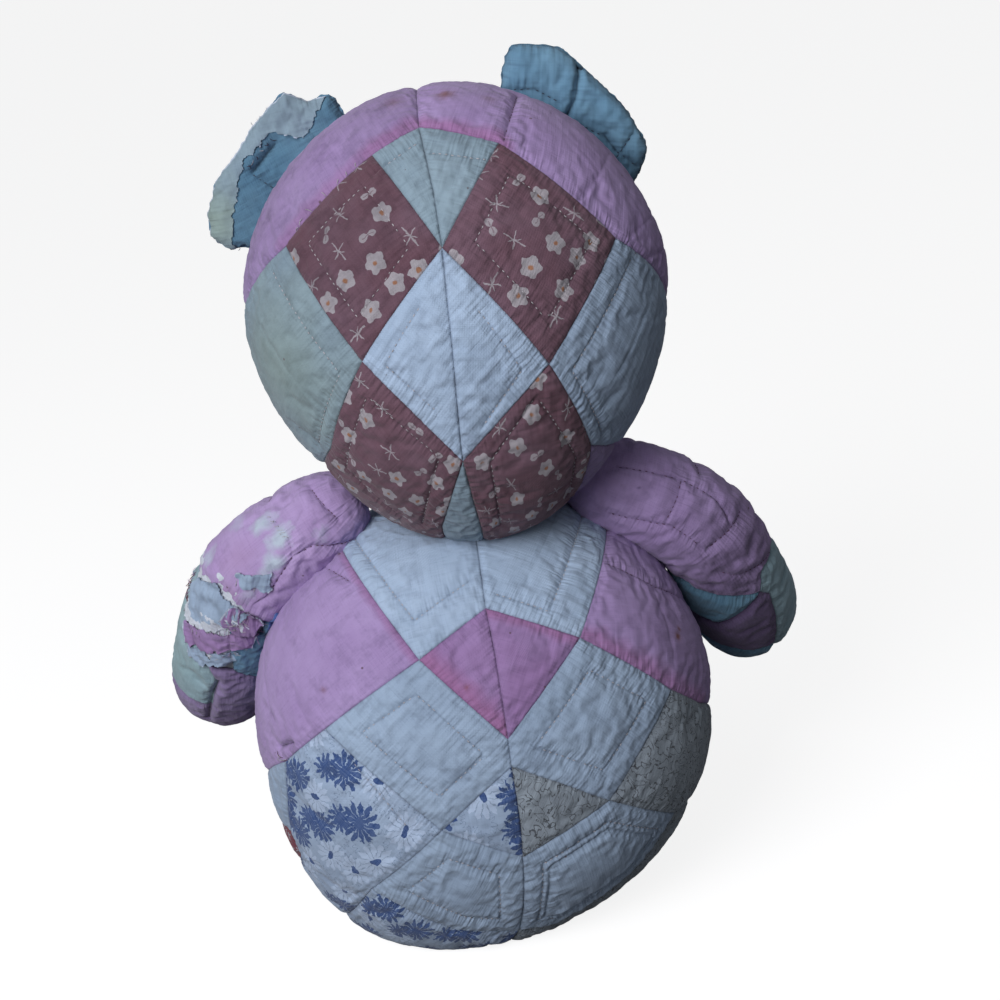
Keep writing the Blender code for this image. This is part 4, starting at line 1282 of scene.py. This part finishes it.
# torn: sides of the patch as (number, depth in mm), other lines as (start, end, depth), holes as (x, y, radius)
tornPatches = [
    {"cloth": "white", "material": wadding, "corners": [(110, -66), (102, -20), (106, 12), (140, 22), (152, 8),
        (174, -13), (170, -32), (152, -64)], "crumple": 0.7, "lift": -0.4, "cell": 1.3},
    {"cloth": "white", "corners": [(96, -20), (79, 0), (86, 11), (93, 9), (101, -6)], "lift": 1.3, "curl": 1.8,
     "cell": 0.9, "lip": 0.7, "crumple": 0.6, "creases": [(35, 2.6, 0.9)], "wornEdge": 1.0, "torn": [(0, 2.0), (1, 2.5),
        (3, 3.5), (4, 2.0)]},
    {"cloth": "white", "corners": [(121, -50), (108, -26), (111, -8), (111, 9), (121, 6), (131, -14), (142, -31),
        (135, -52)], "lift": 1.3, "curl": 1.0, "cell": 1.0, "lip": 0.8, "crumple": 0.35, "creases": [(62, 3.4, 0.5)],
     "marks": [(118, -14, 7, 0, 0.35)], "torn": [(0, 1.5), (1, 2.0), (2, 3.0), (3, 3.0), (4, 3.5), (5, 2.5), (6, 1.5)]},
    {"cloth": "white", "material": wadding, "corners": [(141, -50), (128, -24), (119, -4), (122, 12), (130, 14),
        (136, -8), (147, -30), (150, -46)], "lift": 1.5, "cell": 0.9, "lip": 1.2, "crumple": 1.0,
     "creases": [(60, 2.4, 0.9)], "torn": [(0, 2.0), (1, 2.5), (3, 3.0), (4, 3.5), (5, 3.0)]},
    {"cloth": "rose", "corners": [(112, -8), (109, 12), (117, 22), (131, 18), (134, 2), (128, -12)], "lift": 1.8,
     "curl": 1.4, "cell": 0.9, "lip": 0.8, "crumple": 1.0, "creases": [(20, 2.6, 1.3)], "wornEdge": 1.4,
     "marks": [(122, 6, 9, 0, 0.5)], "torn": [(0, 3.0), (2, 3.5), (3, 3.0), (4, 3.5)]},
    {"cloth": "rose", "corners": [(151, -46), (136, -14), (125, 10), (132, 20), (144, 17), (155, -8), (168, -36)],
     "lift": 1.5, "curl": 1.3, "cell": 0.9, "lip": 0.8, "crumple": 0.5, "creases": [(62, 3.2, 1.1)], "wornEdge": 1.1,
     "marks": [(138, -4, 8, 3, 0.35), (158, -30, 8, 3, 0.3)], "torn": [(0, 3.5), (1, 4.5), (4, 3.0), (5, 3.5),
        (2, 2.0)]},
    {"cloth": "white", "corners": [(166, -36), (152, -8), (147, 8), (158, 10), (168, -2), (176, -20), (174, -34)],
     "lift": 1.1, "curl": 1.4, "cell": 0.9, "lip": 0.8, "crumple": 0.9, "creases": [(66, 2.6, 0.9)], "wornEdge": 1.2,
     "torn": [(0, 3.0), (1, 3.0), (2, 2.0), (3, 3.0), (4, 4.0), (5, 3.0), (160, -14, 3.0)]},
]
armLeft = {
    "places": {"a1": (-12, -126), "a2": (-12, 126), "a3": (128, 126), "a4": (124, 60), "a5": (118, 24), "a6": (114, 6),
        "a7": (110, -22), "a8": (124, -62), "a9": (125, -126), "b1": (132, 26), "b2": (134, -2), "b3": (173, 7),
        "b4": (187, 30), "b5": (190, 60), "b6": (195, 126), "c1": (174, -15), "c2": (189, -4), "c3": (222, -5),
        "c4": (236, -46), "c5": (236, -126), "c6": (330, -126), "c7": (330, 126)},
    "patches": [
        {"cloth": "blush", "corners": "a1 a9 a8 a7 a6 a5 a4 a3 a2", "creases": [(80, 6.0, 0.5), (150, 4.0, 0.35)],
         "crumple": 0.16, "torn": [((125, -90), (124, -62), 1.0), (2, 3.0), (3, 3.5), (4, 1.5)],
         "marks": [(66, -36, 17, 3, 0.62), (62, -18, 16, 3, 0.68), (74, -6, 15, 3, 0.68), (88, 0, 14, 3, 0.62),
            (100, -2, 12, 3, 0.5), (84, -56, 18, 3, 0.48), (106, -50, 15, 3, 0.5), (90, -26, 15, 1, 0.14),
            (112, -14, 13, 1, 0.22), (40, 0, 20, 3, 0.38)]},
        {"cloth": "pale", "corners": "a8 a9 c5 c4 c3 c2 c1", "marks": [(190, -60, 50, 2, 0.2)],
         "creases": [(20, 7.0, 0.4)]},
        {"cloth": "steel", "corners": "a5 a4 a3 b6 b5 b4 b3 b2 b1", "creases": [(118, 5.0, 1.0)]},
        {"cloth": "mauve", "corners": "c1 b3 b4 b5 b6 c7 c6 c5 c4 c3 c2", "creases": [(15, 5.0, 0.4)]},
        {"cloth": "blue", "corners": [(104, 27), (104, 46), (120, 48), (130, 40), (126, 27)], "over": True, "lift": 0.6,
         "lip": 0.8},
    ] + [dict(patch, over=True) for patch in tornPatches],
    "lines": chained(("quilting", (59, -34), (57, -12), (62, 0)), ("quilting", (27, 35), (47, 5), (62, 1), (80, 8),
        (95, 12), (105, 7)), ("quilting", (28, -46), (22, 2)), ("gathered", (15, -70), (28, 30)),
        ("crease", (40, -26), (57, -12)), ("fold", (189, -4), (262, -10)), ("gathered", (140, 30), (176, 12)),
        ("quilting", (30, 90), (110, 84)), ("quilting", (60, 50), (62, 120)), ("quilting", (110, 50), (112, 120)),
        ("quilting", (60, -60), (60, -120)), ("crease", (200, -60), (226, -60))),
}
armRightMade = makeLimb("arm_right", LimbChart(armForm, -1, 90), armRight, armSew, 1.9,
                        ["arm_right_back", "arm_right_front"], 200)
armLeftMade = makeLimb("arm_left", LimbChart(armForm, 1, 90), armLeft, armSew, 1.7,
                       ["arm_left_back", "arm_left_front"], 230)


# Legs: x runs from the hip to the foot, y round the leg from its top

legSew = dict(headSew, step=4.6, puff=0.8, frames=10)
legPlan = {
    "places": {"a1": (-2, -167), "a2": (-2, 167), "b1": (96, -167), "b2": (104, -60), "b3": (96, 0), "b4": (104, 60),
        "b5": (96, 167), "c1": (206, -167), "c2": (198, -60), "c3": (206, 0), "c4": (198, 60), "c5": (206, 167),
        "d1": (420, -167), "d2": (420, -60), "d3": (420, 0), "d4": (420, 60), "d5": (420, 167)},
    "corners": ["a1 b1 b2 b3 b4 b5 a2", "b1 c1 c2 b2", "b2 c2 c3 b3", "b3 c3 c4 b4", "b4 c4 c5 b5", "c1 d1 d2 c2",
        "c2 d2 d3 c3", "c3 d3 d4 c4", "c4 d4 d5 c5"],
    "left": ["red", "pink", "white", "daisy", "rose", "white", "maroon", "pale", "white"],
    "right": ["white", "pink", "lines", "maroon", "white", "rose", "daisy", "white", "pink"],
}


def makeLeg(name, side):
    patches = [{"cloth": kind, "corners": corners} for kind, corners in zip(legPlan[name], legPlan["corners"])]
    lines = [((20, y), (290, y), "quilting") for y in (-110, -30, 30, 110)]
    lines += [((x, -150), (x, 150), "crease") for x in (50, 150, 250)]
    plan = {"places": legPlan["places"], "patches": patches, "lines": lines}
    makeLimb(f"leg_{name}", LimbChart(legForm, side, 90), plan, legSew, 2.8,
             [f"leg_{name}_outer", f"leg_{name}_inner"], 260 + side)


makeLeg("left", 1)
makeLeg("right", -1)


# Soles: flat ovals sewn into the ends of the feet

say("soles")


def oval(wide, tall, parts=30):
    turn = np.linspace(0, 2 * math.pi, parts, endpoint=False)
    return np.stack([np.cos(turn) * wide / 2, np.sin(turn) * tall / 2], 1)


for name, side in (("left", 1), ("right", -1)):
    low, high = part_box(f"sole_{name}")
    middle = ((low[0] + high[0]) / 2, high[1], (low[2] + high[2]) / 2)
    chart = FlatChart(middle, (1, 0, 0), (0, 0, 1), oval(88, 108), 3.0, 14.0)
    lines = [(a, b, "seam") for a, b in chart.sides] + [((-40, y), (40, y), "quilting") for y in (-28, 0, 28)]
    patch = {"cloth": "rose" if side > 0 else "pink", "corners": chart.outline, "marks": [(0, -30, 30, 0, 0.35)]}
    makePad(f"sole_{name}_patch", chart, lines, [patch], dict(headSew, step=3.6, frames=8), 2.4,
            [f"sole_{name}"], 300 + side)


# Ears: flat quilted pads, in mm from the middle of each, x to the right as seen from behind

say("ears")


def curved(points, parts=3):
    # a smooth closed outline through the points
    p = np.array(points, float)
    t = np.linspace(0, 1, parts, endpoint=False)[None, :, None]
    a, b, c, d = (np.roll(p, k, 0)[:, None] for k in (1, 0, -1, -2))
    return (0.5 * (2 * b + (c - a) * t + (2 * a - 5 * b + 4 * c - d) * t ** 2
                   + (3 * b - a - 3 * c + d) * t ** 3)).reshape(-1, 2)


earSew = dict(headSew, step=2.8, puff=0.6, depth=1.2, pressure=8, frames=10, most=3.5)
ears = {
    "left": {
        "middle": (0.085, -0.016, 0.55),
        "cloth": "teal",
        "front": "steel",
        "outline": [(42, 36), (32, 53), (17, 50), (3, 58), (-7, 51), (-21, 39), (-32, 25), (-51, 7), (-56, -5),
            (-60, -15), (-60, -32), (-49, -42), (-39, -43), (-10, -46), (28, -12), (46, 14)],
        "lines": chained(("fold", (-8, 25), (-25, 9)), ("quilting", (-26, 8), (-9, -7)),
            ("quilting", (15, 32), (20, 25)), ("crease", (-3, 32), (8, 26)), ("crease", (-56, -5), (-38, 4)),
            ("crease", (-58, -18), (-40, -12)), ("gathered", (-50, -36), (-42, -20)), ("gathered", (24, 50), (30, 34))),
        "ragged": [((-60, -32), (-49, -42), 2.2), ((-49, -42), (-39, -43), 3.0)],
        "over": [
            {"cloth": "grey", "lift": 0.9, "curl": 0.7, "lip": 0.9, "wornEdge": 0.8, "crumple": 0.2, "cell": 1.1,
             "creases": [(35, 6.0, 0.3)], "marks": [(-54, -20, 26, 2, 0.45), (-10, 42, 12, 0, 0.12)],
             "corners": [(32, 52), (17, 50), (3, 57), (-7, 50), (-21, 38), (-32, 24), (-51, 6), (-56, -5), (-60, -15),
                (-60, -31), (-49, -42), (-42, -44), (-44, -32), (-41, -18), (-36, -4), (-32, 8), (-28, 16), (-18, 24),
                (-10, 32), (2, 30), (11, 26), (19, 32), (25, 42)], "ends": 11, "depth": 2.0, "rows": (0.8,)},
        ],
    },
    "right": {
        "middle": (-0.093, -0.016, 0.55),
        "cloth": "steel",
        "front": "teal",
        "outline": [(-38, 28), (-35, 42), (-32, 54), (-27, 65), (-20, 69), (4, 65), (15, 57), (31, 39), (46, 21),
            (55, 4), (59, -10), (54, -24), (44, -36), (20, -50), (-20, -34), (-40, 2)],
        "lines": chained(("fold", (21, 51), (17, 39), (14, 29), (5, 15)), ("quilting", (-36, 41), (-12, 39), (5, 27)),
            ("gathered", (-28, 30), (2, 18)), ("gathered", (-31, 62), (-33, 46)), ("quilting", (10, 15), (31, 2)),
            ("fold", (31, 2), (37, -8)), ("quilting", (37, -8), (52, -22)), ("quilting", (31, -20), (50, 2)),
            ("crease", (22, 14), (48, 0)), ("gathered", (14, 6), (34, -16)), ("gathered", (42, -28), (52, -14)),
            ("crease", (24, 40), (38, 26))),
        "ragged": [],
        "over": [],
    },
}
earsMade = {}
for name, ear in ears.items():
    outline = curved(ear["outline"])
    chart = FlatChart(ear["middle"], (-1, 0, 0), (0, 0, 1), outline, 9.0, 17.0)
    rim = [(a, b, "seam") for a, b in zip(ear["outline"], ear["outline"][1:] + ear["outline"][:1])]
    patches = [{"cloth": ear["cloth"], "corners": outline, "torn": ear["ragged"], "creases": [(20, 5.0, 0.35)],
                "crumple": 0.3}]
    for over in ear["over"]:
        inner = over["corners"][over["ends"]:] + over["corners"][:1]
        patches.append(dict(over, torn=ear["ragged"] + [(a, b, over["depth"]) for a, b in zip(inner, inner[1:])]))
    earsMade[name] = makePad(f"ear_{name}_back_patch", chart, ear["lines"] + rim, patches, earSew, 1.4,
                             [f"ear_{name}_back", f"ear_{name}_batting"], 320)
    front = FlatChart(ear["middle"], (1, 0, 0), (0, 0, 1), (outline * (-1, 1))[::-1], 9.0, 17.0)
    sewn = [((-a[0], a[1]), (-b[0], b[1]), kind) for a, b, kind in rim + ear["lines"] if kind in ("seam", "quilting")]
    patch = {"cloth": ear["front"], "corners": front.outline, "creases": [(-30, 6.0, 0.3)]}
    makePad(f"ear_{name}_front_patch", front, sewn, [patch], dict(earSew, step=4.0, frames=8), 2.4,
            [f"ear_{name}_front"], 340)


# Face, on the front of the head

say("face")

muzzle = {"middle": (-0.006, -0.088, 0.417), "size": (0.104, 0.080, 0.080)}


def muzzlePoints(directions):
    return rounded(directions, muzzle["size"], 2.0) + muzzle["middle"]


muzzlePlan = {
    "places": {"cA": (0, 95), "cB": (0, -95), "oA": (-95, 95), "oB": (-95, -95), "oC": (95, -95), "oD": (95, 95)},
    "patches": [
        {"cloth": "white", "corners": "cA oA oB cB"},
        {"cloth": "white", "corners": "cA oD oC cB"},
    ],
    "lines": chained(("quilting", (-30, 30), (30, 30)), ("crease", (-44, -22), (-10, -30)),
        ("crease", (44, -22), (10, -30))),
}
muzzlePanel = Panel(BallChart(muzzlePoints, -1, 0, 46),
                    sewnLines(muzzlePlan["patches"], muzzlePlan["places"]) + muzzlePlan["lines"],
                    None, [((0, -1, 0), -0.35)], 360)
muzzlePuffed = puff(muzzlePanel, (-95, -95), (95, 95), dict(headSew, step=3.4, frames=8))
muzzlePiece = sewPatches("muzzle_patch", muzzlePanel, muzzlePuffed, muzzlePlan, muzzlePlan["patches"], 1.8, (0.8,),
                         None,
                         {"marks": [(0, -20, 22, 0, 0.25)], "shift": (0, 0)})
finished(muzzlePiece, ["muzzle"])


def noseShape():
    # a padded oval worked over in satin stitch, whose threads run up and down
    low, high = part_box("nose")
    middle, size = (low + high) / 2, high - low
    bm = bmesh.new()
    bmesh.ops.create_uvsphere(bm, u_segments=96, v_segments=40, radius=0.5, matrix=Matrix.Rotation(math.pi / 2, 4, "X"))
    for vert in bm.verts:
        ahead = vert.co.normalized()
        reach = sum(abs(part) ** 2.4 for part in ahead) ** (-1 / 2.4) / 2
        strand = abs(math.sin(ahead.x * 26 + 0.4 * math.sin(ahead.z * 5)))
        place = [middle[k] + ahead[k] * reach * (size[k] - 1.0 * mm) for k in range(3)]
        vert.co = Vector(place) + ahead * (0.5 * strand * mm)
    return bm


# half the button's section, as shares of its radius: out from its middle and up
buttonProfile = [(0.0, 0.30), (0.18, 0.30), (0.40, 0.34), (0.52, 0.46), (0.70, 0.58), (0.84, 0.56), (0.95, 0.42),
                 (1.0, 0.22), (0.96, 0.02), (0.80, -0.10), (0.0, -0.14)]


def buttonShape(node):
    # a domed button with a raised rim and a sunken middle
    low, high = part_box(node)
    middle = (low + high) / 2
    size = max(high - low) / 2
    aim = (middle - Vector(headMiddle)).normalized()
    bm = bmesh.new()
    line = [bm.verts.new((out * size, 0, up * size)) for out, up in buttonProfile]
    for a, b in zip(line, line[1:]):
        bm.edges.new((a, b))
    bmesh.ops.spin(bm, geom=bm.verts[:] + bm.edges[:], cent=(0, 0, 0), axis=(0, 0, 1), angle=2 * math.pi, steps=48,
                   use_merge=True)
    bmesh.ops.remove_doubles(bm, verts=bm.verts, dist=1e-6)
    bmesh.ops.recalc_face_normals(bm, faces=bm.faces)
    bmesh.ops.subdivide_edges(bm, edges=[e for e in bm.edges if e.calc_length() > 0.8 * mm], cuts=1, smooth=0.4)
    turn = aim.to_track_quat("Z", "Y").to_matrix().to_4x4()
    bmesh.ops.transform(bm, matrix=Matrix.Translation(middle - aim * 0.0005) @ turn, verts=bm.verts)
    return bm, middle, aim, size


nose = newPiece("nose_satin_stitch", noseShape(), [threads["dark"]])
finished(nose, ["nose"])


def strand(bm, places, thick, sides=5):
    # a thread through the places, as a tube whose ends are closed
    places = [Vector(p) for p in places]
    ring = None
    for k, place in enumerate(places):
        ahead = (places[min(k + 1, len(places) - 1)] - places[max(k - 1, 0)]).normalized()
        turn = ahead.to_track_quat("Z", "Y").to_matrix().to_4x4()
        wide = thick * (0.35 if k in (0, len(places) - 1) else 1.0)
        made = bmesh.ops.create_circle(bm, segments=sides, radius=wide, cap_ends=k in (0, len(places) - 1),
                                       matrix=Matrix.Translation(place) @ turn)["verts"]
        if k == 0:
            bmesh.ops.reverse_faces(bm, faces=list({f for v in made for f in v.link_faces}))
        if ring:
            edges = [e for e in {e for v in ring + made for e in v.link_edges} if
                     all(v in ring for v in e.verts) or all(v in made for v in e.verts)]
            bmesh.ops.bridge_loops(bm, edges=edges)
        ring = made


for side in ("left", "right"):
    shape, middle, aim, size = buttonShape(f"eye_{side}")
    finished(newPiece(f"eye_{side}_button", shape, [buttonPlastic]), [f"eye_{side}"])
    sewnOn = bmesh.new()
    across = aim.cross(Vector((0, 0, 1))).normalized()
    for high in (-0.12, 0.12):
        up = aim.cross(across) * high * size
        strand(sewnOn, [middle + up + across * (0.34 * size * k) + aim * (size * (0.34 - 0.16 * k * k))
                        for k in (-1, -0.6, 0, 0.6, 1)], 0.5 * mm)
    finished(newPiece(f"eye_{side}_thread", sewnOn, [threads["light"]]))


# Quilting stitches and loose threads

say("stitches")

stitch = {"long": 1.15, "thick": 0.34, "pitch": 4.4, "lift": 0.25, "lost": 0.08}
stitchOf = {"pink": "plum", "rose": "plum", "mauve": "plum"}
stitched = {kind: [] for kind in threads}
chance = random.Random(5)


def surfaceAt(panel, puffed, xy, lift):
    normal = outward(panel.chart, xy)
    height = panel.relief(xy)[0] + lift
    return panel.chart.points(xy) + normal * (height * mm)[:, None] + puffed.at(xy), normal


def stitchAlong(panel, puffed, start, end, kind, inside):
    # running stitches, a few of them broken away
    start, end = np.array(start, float), np.array(end, float)
    length = np.linalg.norm(end - start)
    count = int(length / stitch["pitch"])
    if count < 2:
        return
    places = np.arange(count) * stitch["pitch"] + stitch["pitch"] / 2
    ahead = (end - start) / length
    middles = start + places[:, None] * ahead
    keep = inside(middles)
    points, normals = surfaceAt(panel, puffed, middles, stitch["lift"])
    nexts, _ = surfaceAt(panel, puffed, middles + ahead * stitch["long"], stitch["lift"])
    bm = bmesh.new()
    for k in range(count):
        if not keep[k] or chance.random() < stitch["lost"]:
            continue
        forward = Vector(nexts[k] - points[k]).normalized()
        right = forward.cross(Vector(normals[k])).normalized()
        up = right.cross(forward)
        size = (stitch["long"] * chance.uniform(0.8, 1.15) * mm, stitch["thick"] * mm, stitch["thick"] * mm)
        sway = right * (chance.uniform(-0.25, 0.25) * mm)
        turn = Matrix((forward * size[0], right * size[1], up * size[2])).transposed().to_4x4()
        bmesh.ops.create_uvsphere(bm, u_segments=6, v_segments=4, radius=1.0,
                                  matrix=Matrix.Translation(Vector(points[k]) + sway) @ turn)
    stitched[kind].append(newPiece("stitches", bm, [threads[kind]]))


def stitchPlan(panel, puffed, plan):
    for side in ("left", "right"):
        for patch in plan[side]:
            corners = np.array([plan["places"][n] for n in patch["corners"].split()], float)
            lines = [line for line in patch.get("lines", []) if line[2] == "quilting"]
            whole = [plan["places"][n] for n in patch["corners"].split() if not n.endswith("b")]
            for by in patch.get("inset", [])[:1]:
                lines += insetLines(whole, by)
            for start, end, _ in lines:
                stitchAlong(panel, puffed, start, end, stitchOf.get(patch["cloth"], "light"),
                            lambda xy: insideOf(xy, corners) & panel.kept(xy))


stitchPlan(*headMade, headBack)
stitchPlan(*bodyMade, bodyBack)
for panel, puffed in (armLeftMade, armRightMade):
    for start, end, kind in panel.lines:
        if kind == "quilting":
            stitchAlong(panel, puffed, start, end, "plum", lambda xy: ~insideOthers(panel.chart.points(xy), 1 * mm))
for panel, puffed in earsMade.values():
    for start, end, kind in panel.lines:
        if kind == "quilting":
            stitchAlong(panel, puffed, start, end, "dark", lambda xy: insideOf(xy, panel.chart.outline))


def looseThread(bm, panel, puffed, xy, heading, length, rise, parts=9):
    # a broken thread that starts in the cloth, runs over it and lifts at its end
    share = np.arange(parts) / (parts - 1)
    turn = math.radians(heading) + chance.uniform(-0.9, 0.9) * share
    places = xy + np.stack([np.cos(turn), np.sin(turn)], 1) * (length * share)[:, None]
    points, normals = surfaceAt(panel, puffed, places, 0.3)
    lift = rise * share ** 1.6 - 0.6 * (share == 0)
    strand(bm, points + normals * (lift * mm)[:, None], 0.22 * mm, 4)


# Frayed edges: (what it lies on, start, end, how many threads, heading in degrees, length and rise in mm, threads)

armLong, earLeft = ["light", "pink", "pink"], earsMade["left"]
frayed = [
    (armLeftMade, (128, -66), (146, -48), 22, -30, 7, 1.4, ["rust", "rust", "pink", "plum"]),
    (armLeftMade, (112, -4), (116, 20), 20, 0, 14, 2.0, armLong),
    (armLeftMade, (118, 2), (130, 22), 22, -60, 12, 2.0, armLong),
    (armLeftMade, (114, -22), (120, 4), 14, 150, 4, 0.6, ["dark"]),
    (armLeftMade, (98, -16), (86, 8), 16, 60, 5, 1.0, ["light"]),
    (armLeftMade, (148, -40), (130, 4), 20, 10, 6, 1.5, ["light", "pink"]),
    (armLeftMade, (168, -30), (150, 6), 20, 10, 6, 1.5, ["light", "pink"]),
    (armLeftMade, (62, -40), (60, -14), 8, 180, 4, 0.8, ["light"]),
    (earLeft, (-21, 38), (3, 56), 8, 120, 2.4, 0.3, ["light"]),
    (earLeft, (-30, 12), (-10, 30), 9, -40, 4, 0.8, ["dark", "light"]),
    (earLeft, (-58, -33), (-40, -43), 6, -100, 2.4, 0.3, ["light"]),
    (bodyMade, (-170, -8), (-160, -14), 5, 200, 7, 2.0, ["light", "plum"]),
    (headMade, (-122, 60), (-50, 106), 7, 100, 5, 1.0, ["light"]),
]
for made, start, end, count, heading, length, rise, kinds in frayed:
    for k in range(count):
        place = np.array(start, float) + (np.array(end, float) - start) * (k + chance.random()) / count
        bm = bmesh.new()
        looseThread(bm, *made, place, heading + chance.uniform(-35, 35), length * chance.uniform(0.5, 1.3),
                    rise * chance.uniform(0.2, 1.2))
        kind = chance.choice(kinds)
        stitched[kind].append(newPiece("stitches", bm, [threads[kind]]))
for kind, pieces in stitched.items():
    finished(joined(f"{kind}_stitches", pieces))


# Nodes that stay: the stuffing inside, and the stitched mouth

for name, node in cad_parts.items():
    if "stuffing" in name or "batting" in name or name == "mouth":
        finish = threads["dark"] if name == "mouth" else wadding
        for place in node.material_slots:
            place.material = finish


makeStudio()
